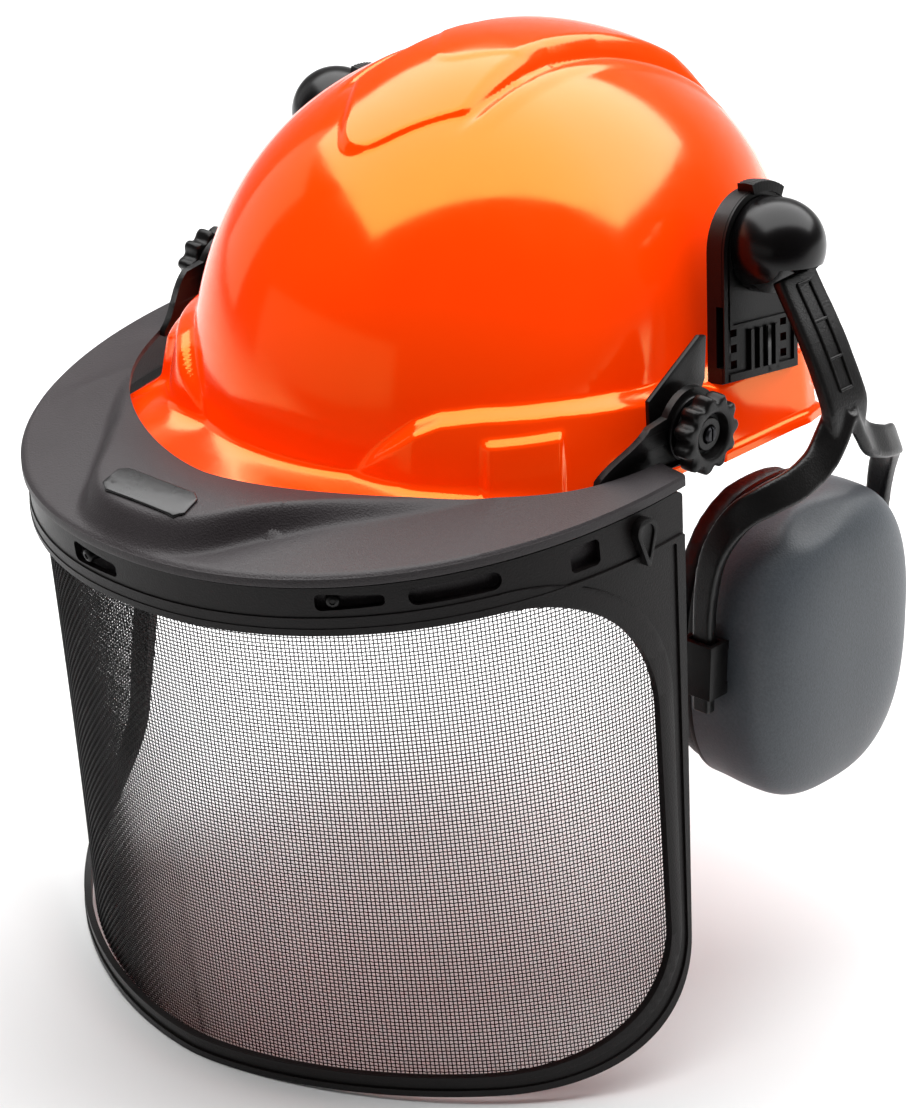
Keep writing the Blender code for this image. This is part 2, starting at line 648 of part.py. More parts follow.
def build_pivots():
    # The knob, washer and bolt share the line straight out through the pivot.
    frame = (PIVOT, EY, EZ, EX)
    turn = ring(33)
    radius = 14.3 + 1.0 * np.cos(11 * turn)
    knob = slab("pivot_knob_left", list(zip(radius * np.cos(turn), radius * np.sin(turn))), 8.0,
                (PIVOT + EX * 8.9, EY, EZ, EX))
    pocket = lathe("knob_pocket", [(0, 8.4), (8.2, 8.4), (8.8, 20), (0, 20)], 18, frame, CUTTERS)
    combine(knob, pocket, "DIFFERENCE")
    bore = lathe("knob_bore", [(0, 0), (3.3, 0), (3.3, 20), (0, 20)], 18, frame, CUTTERS)
    combine(knob, bore, "DIFFERENCE")
    soften(knob, 0.7, 50)
    pair(knob, "pivot_knob", BLACK, 0.35, "knob_turn")
    bolt = lathe("pivot_bolt_left", [(0, -10.8), (6.0, -10.8), (6.0, -8.2), (3.0, -8.2), (3.0, 11.4),
                                     (2.2, 12.2), (0, 12.2)], 24, frame)
    pair(bolt, "pivot_bolt", STEEL, 0.3, "", 1.0)
    washer = lathe("pivot_washer_left", [(3.4, 2.7), (10.5, 2.7), (10.5, 4.5), (3.4, 4.5), (3.4, 2.7)], 32, frame)
    pair(washer, "pivot_washer", BLACK, 0.4, "")
    outline = [(17.5, 29.0), (13.5, 30.0), (-15.0, 12.6), (-13.5, -4.0), (-6.0, -12.0), (8.0, -11.0),
               (14.0, 4.0), (16.0, 9.0), (19.0, 12.0)]
    hole = [(3.3 * math.cos(a), 3.3 * math.sin(a)) for a in ring(16)]
    blade = slab("visor_carrier_left", outline, 2.0, (PIVOT - EX * 6.9, EY, EZ, EX), [hole])
    pair(blade, "visor_carrier", BLACK, 0.5, "")


# ---------------------------------------------------------------- ear muffs
def arch(half, low, top_at, count=15):
    """Outline with straight sides and a round top."""
    turn = np.linspace(0.0, math.pi, count)
    return [(-half, low), (half, low)] + [(half * math.cos(t), top_at + half * math.sin(t)) for t in turn]


def build_adapters():
    body = slab("muff_adapter_left", arch(ADAPTER_HALF, 0.0, HOUSING_AT - 1.5), 8.0,
                (adapter(0.0, 0.0, -2.0), BACK, UP, OUT))
    pocket = slab("adapter_pocket", arch(ADAPTER_HALF - 2.6, 3.0, HOUSING_AT - 1.5), 4.0,
                  (adapter(0.0, 0.0, 2.6), BACK, UP, OUT), where=CUTTERS)
    combine(body, pocket, "DIFFERENCE")
    for up in (5.0, 11.0, 17.0):
        for back in (-15.5, 9.5):
            window = block("adapter_window", (back, up, -9.0), (back + 6.0, up + 3.6, 6.0), ADAPTER, CUTTERS)
            combine(body, window, "DIFFERENCE")
    tongue = block("adapter_tongue", (-14.0, -16.0, -5.2), (14.0, 2.0, -2.0), ADAPTER, CUTTERS)
    combine(body, tongue, "UNION")
    tab = block("adapter_tab", (-7.0, HOUSING_AT + 18.7, -4.6), (10.0, HOUSING_AT + 23.0, 3.4), ADAPTER, CUTTERS)
    combine(body, tab, "UNION")
    entry = block("carrier_slot", (-23.5, 6.0, -1.7), (-17.5, 29.0, 1.5), ADAPTER, CUTTERS)
    combine(body, entry, "DIFFERENCE")
    pair(body, "muff_adapter", BLACK, 0.45, "")


def build_housing():
    frame = (adapter(0.0, HOUSING_AT, 0.0), BACK, UP, OUT)
    dome = lathe("pivot_dome_left", [(0, 0.9), (17.4, 0.9), (18.0, 3.0), (18.0, 10.0), (17.2, 15.0), (14.6, 20.5),
                                     (10.4, 24.6), (5.2, 27.0), (0, 27.8)], 32, frame)
    mouth = block("dome_mouth", (-13.5, -40.0, 8.0), (13.5, -6.5, 40.0), frame, CUTTERS)
    combine(dome, mouth, "DIFFERENCE")
    pair(dome, "pivot_dome", BLACK, 0.15, "muff_swing")


def build_arms():
    middle = CUP[1]
    top = adapter(0.0, HOUSING_AT - 10.5, 16.0)
    top[1] = middle - 2.6
    stem = [top, (121.0, middle - 2.4, 62.5), (130.8, middle - 1.6, 46.4), (137.4, middle - 0.8, 33.0),
            (142.0, middle, 22.0), (142.8, middle, 12.0)]
    arm = strip("muff_arm_left", stem, [22.0, 22.0, 23.0, 23.0, 22.0, 20.0], 6.0, EY)
    limb = np.array([(142.6, -2.0, 20.0), (142.6, -8.0, 10.0), (142.4, -15.0, 2.0), (141.5, -27.0, -2.0),
                     (137.5, -38.0, -6.0), (130.0, -46.0, -13.0), (123.5, -51.0, -27.0), (121.0, -52.8, -45.0),
                     (121.0, -52.8, -70.0), (121.6, -52.8, -93.0)])
    for name, side in (("limb_front", 1.0), ("limb_rear", -1.0)):
        path = limb * np.array([1.0, side, 1.0]) + np.array([0.0, middle, 0.0])
        bar = strip(name, path, [11.0] * 6 + [10.0, 9.0, 8.0, 8.0], 5.2, EX * 0.75 + EZ * 0.66, CUTTERS)
        combine(arm, bar, "UNION")
    pair(arm, "muff_arm", BLACK, 0.45, "muff_lift")


def rounded_box(name, centre, columns, power, shape_x):
    """A closed rounded body: a superellipse in the side view, shape_x gives (x, scale) from inner to outer."""
    turn = ring(columns)
    y, z = superellipse(turn, CUP_SIZE[1] / 2, CUP_SIZE[2] / 2, power)
    loops = []
    for x, scale_y, scale_z in shape_x:
        loops.append(np.stack([np.full_like(y, x), y * scale_y, z * scale_z], -1) + centre)
    return grid_object(name, np.stack(loops, 1), wrap_u=True)


def build_cups():
    half = CUP_SIZE[0] / 2
    outside = [(-half, 0.985, 0.985), (-half + 10, 1.0, 1.0), (5, 0.985, 0.985), (13, 0.93, 0.94),
               (18, 0.82, 0.85), (20.6, 0.62, 0.68), (21.4, 0.3, 0.36), (21.6, 0.0, 0.0)]
    shell = rounded_box("cup_shell_left", CUP, 36, 2.6, outside)
    thicken(shell, 2.6, -1)
    pair(shell, "cup_shell", SLATE, 0.5, "cup_tilt")
    back = CUP - EX * (half + GAP + 1.0)
    hole = [(0.52 * y, 0.56 * z) for y, z in zip(*superellipse(ring(28), 46.0, 60.0, 2.3))]
    rim = [(y, z) for y, z in zip(*superellipse(ring(36), 46.3, 60.3, 2.6))]
    plate = slab("cup_backplate_left", rim, 2.0, (back, EY, EZ, EX), [hole])
    pair(plate, "cup_backplate", BLACK, 0.5, "cup_tilt")
    # Cushion: a soft ring.
    columns, around = 30, 8
    face = CUP[0] - half - GAP - 2.0 - GAP
    y, z = superellipse(ring(columns), 38.6, 52.2, 2.4)
    spin = ring(around)
    loops = []
    for a in spin:
        grow = 8.2 * np.sign(math.cos(a)) * abs(math.cos(a)) ** 0.8
        depth = 6.6 * np.sign(math.sin(a)) * abs(math.sin(a)) ** 0.8
        length = np.hypot(y, z)
        loops.append(np.stack([np.full_like(y, face - 6.6 + depth), CUP[1] + y * (1 + grow / length),
                               CUP[2] + z * (1 + grow / length)], -1))
    cushion = grid_object("cup_cushion_left", np.stack(loops, 1), wrap_u=True, wrap_v=True)
    pair(cushion, "cup_cushion", BLACK, 0.6, "cup_tilt")
    liner = rounded_box("cup_foam_left", CUP, 28, 2.6,
                        [(-half + 0.6, 0.0, 0.0), (-half + 0.6, 0.89, 0.91), (2, 0.88, 0.90), (9.6, 0.80, 0.83),
                         (14.6, 0.58, 0.64), (16.6, 0.28, 0.32), (17.0, 0.0, 0.0)])
    pair(liner, "cup_foam", FOAM, 0.95, "cup_tilt")


def build_yokes():
    for stem, side in (("yoke_block_front", -1.0), ("yoke_block_rear", 1.0)):
        centre = np.array([121.0, CUP[1] + side * 52.8, CUP[2] + 4.0])
        frame = (centre, EX, EZ, -EY * side)
        body = block(stem + "_left", (-7.4, -11.0, -5.4), (7.4, 11.0, 5.4), frame)
        channel = block(stem + "_channel", (-5.2, -30.0, -3.1), (5.2, 30.0, 3.1), frame, CUTTERS)
        combine(body, channel, "DIFFERENCE")
        soften(body, 0.8, 50)
        pair(body, stem, BLACK, 0.4, "cup_slide")


# ---------------------------------------------------------------- joints and build
def build_frames():
    frame_at("visor_tilt", (0.0, PIVOT[1], PIVOT[2]))
    frame_at("nape_slide", (0.0, 107.0, -28.0))
    frame_at("ratchet_turn", (0.0, 118.0, -28.0))
    for side, sign in (("left", 1.0), ("right", -1.0)):
        flip = np.array([sign, 1.0, 1.0])
        frame_at("knob_turn_" + side, PIVOT * flip)
        frame_at("muff_swing_" + side, HOUSING * flip)
        frame_at("muff_lift_" + side, adapter(0.0, HOUSING_AT - 4.0, 13.0) * flip)
        frame_at("cup_slide_" + side, np.array([121.0, CUP[1], CUP[2]]) * flip)
        frame_at("cup_tilt_" + side, np.array([121.0, CUP[1], CUP[2] + 4.0]) * flip)


build_frames()
build_shell()
build_headband()
build_hangers()
build_straps()
build_nape()
build_guard()
build_visor()
pair(build_latches(), "visor_latch", BLACK, 0.35, "latch_turn")
build_pivots()
build_adapters()
build_housing()
build_arms()
build_cups()
build_yokes()
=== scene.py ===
# %% [markdown]
# # Forestry hard hat: the finished surfaces
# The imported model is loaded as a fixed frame. Each visible CAD node is then either given
# a procedural material or replaced by a finer surface that lies in the same place.
# All lengths in this script are in millimetres until a mesh is made.

# %% Start: imports and the frame
import json
import math

import bmesh
import bpy
import numpy as np
from mathutils import Matrix, Vector

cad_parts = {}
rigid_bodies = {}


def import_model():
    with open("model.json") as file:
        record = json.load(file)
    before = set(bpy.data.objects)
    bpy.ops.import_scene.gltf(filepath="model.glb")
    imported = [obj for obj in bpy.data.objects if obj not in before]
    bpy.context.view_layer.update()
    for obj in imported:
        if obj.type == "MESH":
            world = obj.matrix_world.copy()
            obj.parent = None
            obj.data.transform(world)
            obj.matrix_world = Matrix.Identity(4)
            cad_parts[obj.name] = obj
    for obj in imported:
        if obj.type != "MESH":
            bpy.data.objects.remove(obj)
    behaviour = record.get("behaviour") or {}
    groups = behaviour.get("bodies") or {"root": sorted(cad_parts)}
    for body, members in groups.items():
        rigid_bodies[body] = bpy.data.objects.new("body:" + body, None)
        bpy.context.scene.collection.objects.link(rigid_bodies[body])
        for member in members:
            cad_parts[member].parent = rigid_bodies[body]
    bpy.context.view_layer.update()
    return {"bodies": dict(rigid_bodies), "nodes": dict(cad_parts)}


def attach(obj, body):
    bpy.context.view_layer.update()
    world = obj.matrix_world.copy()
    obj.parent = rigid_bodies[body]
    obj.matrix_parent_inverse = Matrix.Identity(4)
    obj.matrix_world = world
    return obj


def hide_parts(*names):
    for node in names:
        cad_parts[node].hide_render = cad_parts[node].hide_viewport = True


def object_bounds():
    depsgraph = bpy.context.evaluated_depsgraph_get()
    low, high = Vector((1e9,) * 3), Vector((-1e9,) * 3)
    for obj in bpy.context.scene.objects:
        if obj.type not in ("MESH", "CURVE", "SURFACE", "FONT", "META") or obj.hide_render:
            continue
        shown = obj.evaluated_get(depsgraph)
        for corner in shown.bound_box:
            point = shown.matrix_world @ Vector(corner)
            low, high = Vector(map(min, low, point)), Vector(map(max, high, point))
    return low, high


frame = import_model()
NODES = frame["nodes"]
MM = 0.001

# %% [markdown]
# ## Driving dimensions
# The same numbers as the CAD source: the dome, the tilted plane of the brow guard, the
# visor's bent sheet, the pivots and the accessory adapters.

# %% Dimensions
WALL = 2.6
HALF_WIDTH, FRONT_REACH, REAR_REACH, DOME_HEIGHT = 96.0, 113.0, 156.0, 138.0
PIVOT = np.array([116.5, -12.5, 24.5])
GUARD_ORIGIN = np.array([0.0, -28.0, 14.0])
GUARD_PITCH = math.radians(4.4)
VISOR_DROP = 227.0
SIDE_CORNER = 96.0
ADAPTER_BASE = np.array([108.0, 40.0, 26.4])
ADAPTER_HALF = 22.0
HOUSING_AT = 50.0
CUP = np.array([131.0, 49.0, -78.0])
CUP_SIZE = np.array([42.0, 94.0, 122.0])
EX, EY, EZ = np.eye(3)
WORLD = (np.zeros(3), EX, EY, EZ)
GUARD_BACK = np.array([0.0, math.cos(GUARD_PITCH), math.sin(GUARD_PITCH)])
GUARD_UP = np.array([0.0, -math.sin(GUARD_PITCH), math.cos(GUARD_PITCH)])
OUT = np.array([0.9887, 0.0, 0.1499])
UP = np.array([-0.1488, 0.1235, 0.9811])
UP /= np.linalg.norm(UP)
BACK = np.cross(UP, OUT)
BACK /= np.linalg.norm(BACK)
OUT = np.cross(BACK, UP)
print(f"frame: {len(NODES)} nodes")
ADAPTER = (ADAPTER_BASE, BACK, UP, OUT)


def adapter(back, up, out):
    """A point given in the adapter's own axes."""
    return ADAPTER_BASE + back * BACK + up * UP + out * OUT


# %% [markdown]
# ## Small maths
# Smooth steps and the superellipse |x/a|^n + |y/b|^n = 1, used for every rounded outline.

# %% Maths helpers
def smooth(x, low, high):
    """0 below low, 1 above high, and 3t^2 - 2t^3 between, with t = (x - low) / (high - low)."""
    t = np.clip((np.asarray(x, float) - low) / (high - low), 0.0, 1.0)
    return t * t * (3.0 - 2.0 * t)


def bump(x, low, high, edge):
    """1 between low and high, falling to 0 over edge on each side."""
    return smooth(x, low - edge, low) * (1.0 - smooth(x, high, high + edge))


def superellipse(angle, a, b, power):
    """x = a |cos|^(2/n) and y = b |sin|^(2/n), each with the sign of its cosine or sine."""
    c, s = np.cos(angle), np.sin(angle)
    return a * np.sign(c) * np.abs(c) ** (2 / power), b * np.sign(s) * np.abs(s) ** (2 / power)


def ring(count):
    """Evenly spaced angles round a circle."""
    return np.linspace(0.0, 2.0 * math.pi, count, endpoint=False)


def unit(vectors):
    """The direction of one vector, or of each row of a table of vectors."""
    vectors = np.asarray(vectors, float)
    size = np.linalg.norm(vectors) if vectors.ndim == 1 else np.linalg.norm(vectors, axis=-1)[..., None]
    return vectors / size


def run_length(points):
    """Distance from the first point along a path to each of its points."""
    return np.concatenate([[0], np.cumsum(np.linalg.norm(np.diff(points, axis=0), axis=1))])


def circle(radius, count):
    """(x, y) pairs round a circle about the origin."""
    return [(radius * math.cos(a), radius * math.sin(a)) for a in ring(count)]


def curve_through(points, count):
    """A smooth Catmull-Rom path through the points, evenly spaced in its parameter."""
    p = np.asarray(points, float)
    p = np.vstack([2 * p[0] - p[1], p, 2 * p[-1] - p[-2]])
    t = np.linspace(0, len(p) - 3 - 1e-9, count)
    k = t.astype(int)
    f = (t - k)[:, None]
    a, b, c, d = p[k], p[k + 1], p[k + 2], p[k + 3]
    square, cube = 2 * a - 5 * b + 4 * c - d, 3 * b - a - 3 * c + d
    return 0.5 * (2 * b + (c - a) * f + square * f ** 2 + cube * f ** 3)


# %% [markdown]
# ## Mesh helpers
# Surfaces are tables of points made with numpy. Solid details are plates, blocks and turned
# forms joined by Booleans and softened with bevels, then applied.

# %% Mesh helpers
SCENE = bpy.context.scene
PIECES = bpy.data.collections.new("finished")
TOOLS = bpy.data.collections.new("tools")
SCENE.collection.children.link(PIECES)
SCENE.collection.children.link(TOOLS)


def quads(rows, columns, wrap_u, wrap_v):
    """Corner numbers of the cells of a rows x columns table."""
    i = np.arange(rows if wrap_u else rows - 1)[:, None]
    j = np.arange(columns if wrap_v else columns - 1)[None, :]
    i2, j2 = (i + 1) % rows, (j + 1) % columns
    cells = [i * columns + j, i2 * columns + j, i2 * columns + j2, i * columns + j2]
    return np.stack([np.broadcast_to(c, (i.shape[0], j.shape[1])) for c in cells], -1).reshape(-1, 4)


def raw_mesh(name, points, faces, where=None):
    """A mesh object from points in mm and lists of corner numbers."""
    data = bpy.data.meshes.new(name)
    data.from_pydata((np.asarray(points) * MM).tolist(), [], [list(map(int, f)) for f in faces])
    obj = bpy.data.objects.new(name, data)
    (where or PIECES).objects.link(obj)
    return obj


def outward(obj, merge=True):
    """Merges doubled points, unless told not to, and turns every face outwards."""
    mesh = bmesh.new()
    mesh.from_mesh(obj.data)
    if merge:
        bmesh.ops.remove_doubles(mesh, verts=mesh.verts, dist=2e-6)
    mesh.normal_update()
    bmesh.ops.recalc_face_normals(mesh, faces=mesh.faces)
    mesh.to_mesh(obj.data)
    mesh.free()
    return obj


def surface(name, table, wrap_u=False, wrap_v=False, caps=False, where=None):
    """A surface through table[i, j]; caps close the open ends of a tube that is wrapped in v."""
    table = np.asarray(table, float)
    rows, columns = table.shape[:2]
    faces = list(quads(rows, columns, wrap_u, wrap_v))
    if caps:
        faces.append(list(range(columns)))
        faces.append([(rows - 1) * columns + j for j in range(columns)])
    return outward(raw_mesh(name, table.reshape(-1, 3), faces, where))


def lathe(name, profile, steps, frame_axes, where=None):
    """Turns (radius, height) pairs about the last axis of a frame."""
    origin, ex, ey, axis = frame_axes
    profile = np.asarray(profile, float)
    turn = ring(steps)[:, None, None]
    radius, height = profile[None, :, 0, None], profile[None, :, 1, None]
    table = origin + radius * (np.cos(turn) * ex + np.sin(turn) * ey) + height * axis
    return surface(name, table, wrap_u=True, where=where)


def slab(name, outline, low, high, frame_axes, holes=(), where=None):
    """A plate with the outline (and holes) in a frame's x, y, between two heights."""
    origin, ex, ey, axis = frame_axes
    curve = bpy.data.curves.new(name, "CURVE")
    curve.dimensions = "2D"
    curve.fill_mode = "BOTH"
    curve.extrude = 0.5 * (high - low) * MM
    for loop in (outline, *holes):
        spline = curve.splines.new("POLY")
        spline.points.add(len(loop) - 1)
        for point, (x, y) in zip(spline.points, loop):
            point.co = (x * MM, y * MM, 0.0, 1.0)
        spline.use_cyclic_u = True
    holder = bpy.data.objects.new(name + "_outline", curve)
    TOOLS.objects.link(holder)
    bpy.context.view_layer.update()
    data = bpy.data.meshes.new_from_object(holder)
    bpy.data.objects.remove(holder)
    axes = Matrix((ex, ey, axis)).transposed().to_4x4()
    middle = Vector(origin + axis * 0.5 * (low + high)) * MM
    data.transform(Matrix.Translation(middle) @ axes)
    obj = bpy.data.objects.new(name, data)
    (where or PIECES).objects.link(obj)
    return outward(obj)


def block(name, low, high, frame_axes, where=None):
    """A box between two corners given in a frame."""
    origin, ex, ey, axis = frame_axes
    x, y, z = zip(low, high)
    points = [origin + a * ex + b * ey + c * axis for a in x for b in y for c in z]
    faces = [(0, 1, 3, 2), (4, 6, 7, 5), (0, 4, 5, 1), (2, 3, 7, 6), (0, 2, 6, 4), (1, 5, 7, 3)]
    return outward(raw_mesh(name, points, faces, where))


def sweep(name, path, width, depth, side, rounding=0.75, steps=20, where=None):
    """A bar of rounded rectangular section along a path; width lies along side."""
    path = np.asarray(path, float)
    side = np.broadcast_to(np.asarray(side, float), path.shape)
    ahead = unit(np.gradient(path, axis=0))
    wide = unit(side - np.sum(ahead * side, 1)[:, None] * ahead)
    deep = np.cross(ahead, wide)
    w = np.broadcast_to(np.asarray(width, float) / 2, len(path))[:, None]
    d = np.broadcast_to(np.asarray(depth, float) / 2, len(path))[:, None]
    loops = []
    for turn in ring(steps) + math.pi / steps:
        c, s = superellipse(turn, 1.0, 1.0, 2.0 + 6.0 * rounding)
        loops.append(path + c * w * wide + s * d * deep)
    return surface(name, np.stack(loops, 1), wrap_v=True, caps=True, where=where)


def boolean(target, other, operation):
    """Joins or cuts with a tool, which is thrown away by bake."""
    step = target.modifiers.new(operation, "BOOLEAN")
    step.operation = operation
    step.solver = "EXACT"
    step.object = other
    return target


def split_across(obj, axis, places):
    """Cuts every face along planes at right angles to an axis, at these places in mm."""
    mesh = bmesh.new()
    mesh.from_mesh(obj.data)
    for at in places:
        point, toward = [0.0, 0.0, 0.0], [0.0, 0.0, 0.0]
        point[axis], toward[axis] = float(at) * MM, 1.0
        everything = mesh.verts[:] + mesh.edges[:] + mesh.faces[:]
        bmesh.ops.bisect_plane(mesh, geom=everything, dist=1e-7, plane_co=point, plane_no=toward)
    mesh.to_mesh(obj.data)
    mesh.free()


def soften(obj, width, angle=35.0, segments=2):
    """Bevels the edges that turn by more than an angle in degrees; width is in mm."""
    step = obj.modifiers.new("soft edges", "BEVEL")
    step.width = width * MM
    step.limit_method = "ANGLE"
    step.angle_limit = math.radians(angle)
    step.segments = segments
    step.harden_normals = False
    return obj


def bake(obj):
    """Applies the modifiers and removes the Boolean tools."""
    bpy.context.view_layer.update()
    shaped = obj.evaluated_get(bpy.context.evaluated_depsgraph_get())
    data = bpy.data.meshes.new_from_object(shaped)
    used = [m.object for m in obj.modifiers if m.type == "BOOLEAN"]
    obj.modifiers.clear()
    obj.data = data
    for tool in used:
        if tool and tool.name in TOOLS.objects:
            bpy.data.objects.remove(tool)
    return obj


def shade(obj, angle=38.0):
    """Smooth shading, with edges that turn by more than the angle kept sharp."""
    data = obj.data
    data.polygons.foreach_set("use_smooth", np.ones(len(data.polygons), bool))
    if angle < 179:
        data.set_sharp_from_angle(angle=math.radians(angle))
    data.update()
    return obj


def mirrored(obj, name):
    """The same piece on the wearer's right: x becomes -x."""
    data = obj.data.copy()
    data.transform(Matrix.Scale(-1.0, 4, (1, 0, 0)))
    data.flip_normals()
    twin = bpy.data.objects.new(name, data)
    PIECES.objects.link(twin)
    return twin


def points_of(obj):
    """The vertices as an array in mm."""
    flat = np.empty(len(obj.data.vertices) * 3)
    obj.data.vertices.foreach_get("co", flat)
    return flat.reshape(-1, 3) / MM


def set_points(obj, points):
    """Moves the vertices to an array in mm."""
    obj.data.vertices.foreach_set("co", (np.asarray(points) * MM).ravel())
    obj.data.update()
    return obj


MADE = []


def place(obj, body, material, nodes=(), angle=38.0):
    """Finishes a piece: material, shading, the body it rides on and the nodes it stands for."""
    obj.data.materials.clear()
    obj.data.materials.append(material)
    shade(obj, angle)
    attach(obj, body)
    if nodes:
        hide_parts(*nodes)
    MADE.append((obj.name, len(obj.data.polygons)))
    return obj


def place_pair(obj, stem, body, material, nodes=(), angle=38.0):
    """Places a left piece and its mirrored right twin, called left_stem and right_stem."""
    twin = mirrored(obj, "right_" + stem)
    obj.name = "left_" + stem
    for piece, side in ((obj, "left"), (twin, "right")):
        where = body if body in frame["bodies"] else f"{body}_{side}"
        place(piece, where, material, [f"{n}_{side}" for n in nodes], angle)
    return obj, twin


# %% [markdown]
# ## Camera, floor and lights
# The camera looks at the hat's left front from a little above. A broad soft box hangs over it, a low one
# stands in front and one at its right, and a pale floor and wall bounce the light.

# %% Camera and lights
def make_camera():
    azimuth, elevation, roll = map(math.radians, (41.16, 24.66, 0.42))
    away = np.array([math.sin(azimuth) * math.cos(elevation),
                     -math.cos(azimuth) * math.cos(elevation), math.sin(elevation)])
    right = np.array([math.cos(azimuth), math.sin(azimuth), 0.0])
    up = np.cross(away, right)
    turned = right * math.cos(roll) + up * math.sin(roll)
    up = up * math.cos(roll) - right * math.sin(roll)
    target = np.array([-1.87, -1.58, -66.76])
    data = bpy.data.cameras.new("camera")
    data.lens = 154.09
    data.sensor_width = 36.0
    data.clip_start, data.clip_end = 0.1, 30.0
    camera = bpy.data.objects.new("camera", data)
    camera.matrix_world = Matrix.Translation(Vector((target + away * 1844.27) * MM)) @ Matrix(
        (turned, up, away)).transposed().to_4x4()
    SCENE.collection.objects.link(camera)
    SCENE.camera = camera


def area_light(name, place_m, aim_m, size, power, color=(1.0, 1.0, 1.0), up=(0, 0, 1)):
    data = bpy.data.lights.new(name, "AREA")
    data.shape = "RECTANGLE"
    data.size, data.size_y = size
    data.energy = power
    data.color = color
    light = bpy.data.objects.new(name, data)
    away = (Vector(place_m) - Vector(aim_m)).normalized()
    side = Vector(up).cross(away).normalized()
    light.matrix_world = Matrix.Translation(Vector(place_m)) @ Matrix(
        (side, away.cross(side), away)).transposed().to_4x4()
    SCENE.collection.objects.link(light)
    return light


def make_lights():
    # Overhead box: its near corner stands over the front of the hat.
    corner = np.array([-0.08, -0.98]) * 1.3
    one, two = np.array([0.57, 0.82]), np.array([-0.82, 0.57])
    middle = corner + one * 2.3 + two * 1.15
    area_light("overhead", (*middle, 1.36), (*middle, 0.0), (4.6, 2.3), 150.0, up=(*two, 0.0))
    area_light("front_fill", (-0.48, -2.25, 0.02), (0.0, 0.0, 0.02), (3.4, 1.25), 4.0)
    area_light("right_fill", (-2.2, -0.3, 0.7), (0.0, 0.0, 0.0), (1.2, 1.6), 4.0)
    world = bpy.data.worlds.new("studio")
    world.use_nodes = True
    world.node_tree.nodes["Background"].inputs["Color"].default_value = (1.0, 1.0, 1.0, 1.0)
    world.node_tree.nodes["Background"].inputs["Strength"].default_value = 0.06
    SCENE.world = world
    SCENE.view_settings.view_transform = "Standard"


make_camera()
make_lights()


# %% [markdown]
# ## Materials
# Every material is made of shader nodes on object coordinates. Colours are given as sRGB
# hex text and turned linear by one function.

# %% Material helpers
def linear(text, alpha=1.0):
    """sRGB hex to linear: ((c + 0.055) / 1.055)^2.4 above 0.04045, else c / 12.92."""
    c = np.array([int(text[i:i + 2], 16) for i in (1, 3, 5)]) / 255.0
    c = np.where(c > 0.04045, ((c + 0.055) / 1.055) ** 2.4, c / 12.92)
    return (*c.tolist(), alpha)


def add(tree, kind, inputs=None, **settings):
    """Adds a shader node; inputs maps its sockets to numbers, colours or other sockets."""
    node = tree.nodes.new("ShaderNode" + kind)
    for key, value in settings.items():
        setattr(node, key, value)
    for key, value in (inputs or {}).items():
        if isinstance(value, bpy.types.NodeSocket):
            tree.links.new(value, node.inputs[key])
        else:
            node.inputs[key].default_value = value
    return node


def ramp(tree, factor, *stops):
    """A colour ramp through (position, colour) stops."""
    node = add(tree, "ValToRGB", {"Fac": factor})
    elements = node.color_ramp.elements
    while len(elements) < len(stops):
        elements.new(0.5)
    for element, (at, color) in zip(elements, stops):
        element.position = at
        element.color = color
    return node.outputs["Color"]


def new_material(name, **constants):
    """An empty Principled material; constants set its own sockets."""
    material = bpy.data.materials.new(name)
    material.use_nodes = True
    tree = material.node_tree
    shader = tree.nodes["Principled BSDF"]
    for key, value in constants.items():
        shader.inputs[key.replace("_", " ")].default_value = value
    return material, tree, shader


def noise(tree, place_socket, scale, detail=3.0, roughness=0.55):
    return add(tree, "TexNoise", {"Vector": place_socket, "Scale": scale, "Detail": detail,
                                  "Roughness": roughness}).outputs["Fac"]


def plastic(name, dark, light, rough=(0.4, 0.5), grain=1400.0, strength=0.25, depth=0.0004,
            scuffs=0.0, **constants):
    """Moulded plastic: mottled colour, fine grain, uneven gloss and a few pale scuffs.

    grain is the number of cells in a metre, so 1400 gives cells 1000 / 1400 = 0.7 mm wide;
    depth is the relief of a cell in metres.
    """
    material, tree, shader = new_material(name, **constants)
    here = add(tree, "TexCoord").outputs["Object"]
    cloud = noise(tree, here, 22.0, 4.0)
    speck = noise(tree, here, grain * 0.6, 2.0)
    mixed = add(tree, "Math", {0: cloud, 1: speck}, operation="ADD").outputs[0]
    half = add(tree, "Math", {0: mixed, 1: 0.5}, operation="MULTIPLY").outputs[0]
    color = ramp(tree, half, (0.36, linear(dark)), (0.64, linear(light)))
    if scuffs:
        stretched = add(tree, "Mapping", {"Vector": here, "Scale": (9.0, 70.0, 30.0),
                                          "Rotation": (0.5, 0.3, 0.8)}).outputs["Vector"]
        streak = ramp(tree, noise(tree, stretched, 3.0, 6.0, 0.7), (0.68, (0, 0, 0, 1)),
                      (0.78, (scuffs, scuffs, scuffs, 1)))
        color = add(tree, "Mix", {"Factor": streak, "A": color, "B": linear("#8A8A8C")},
                    data_type="RGBA").outputs["Result"]
    tree.links.new(color, shader.inputs["Base Color"])
    gloss = add(tree, "MapRange", {"Value": cloud, "From Min": 0.3, "From Max": 0.7,
                                   "To Min": rough[0], "To Max": rough[1]}).outputs["Result"]
    tree.links.new(gloss, shader.inputs["Roughness"])
    cells = add(tree, "TexVoronoi", {"Vector": here, "Scale": grain}, feature="SMOOTH_F1")
    fine = cells.outputs["Distance"]
    relief = add(tree, "Bump", {"Height": fine, "Strength": strength, "Distance": depth})
    tree.links.new(relief.outputs["Normal"], shader.inputs["Normal"])
    return material


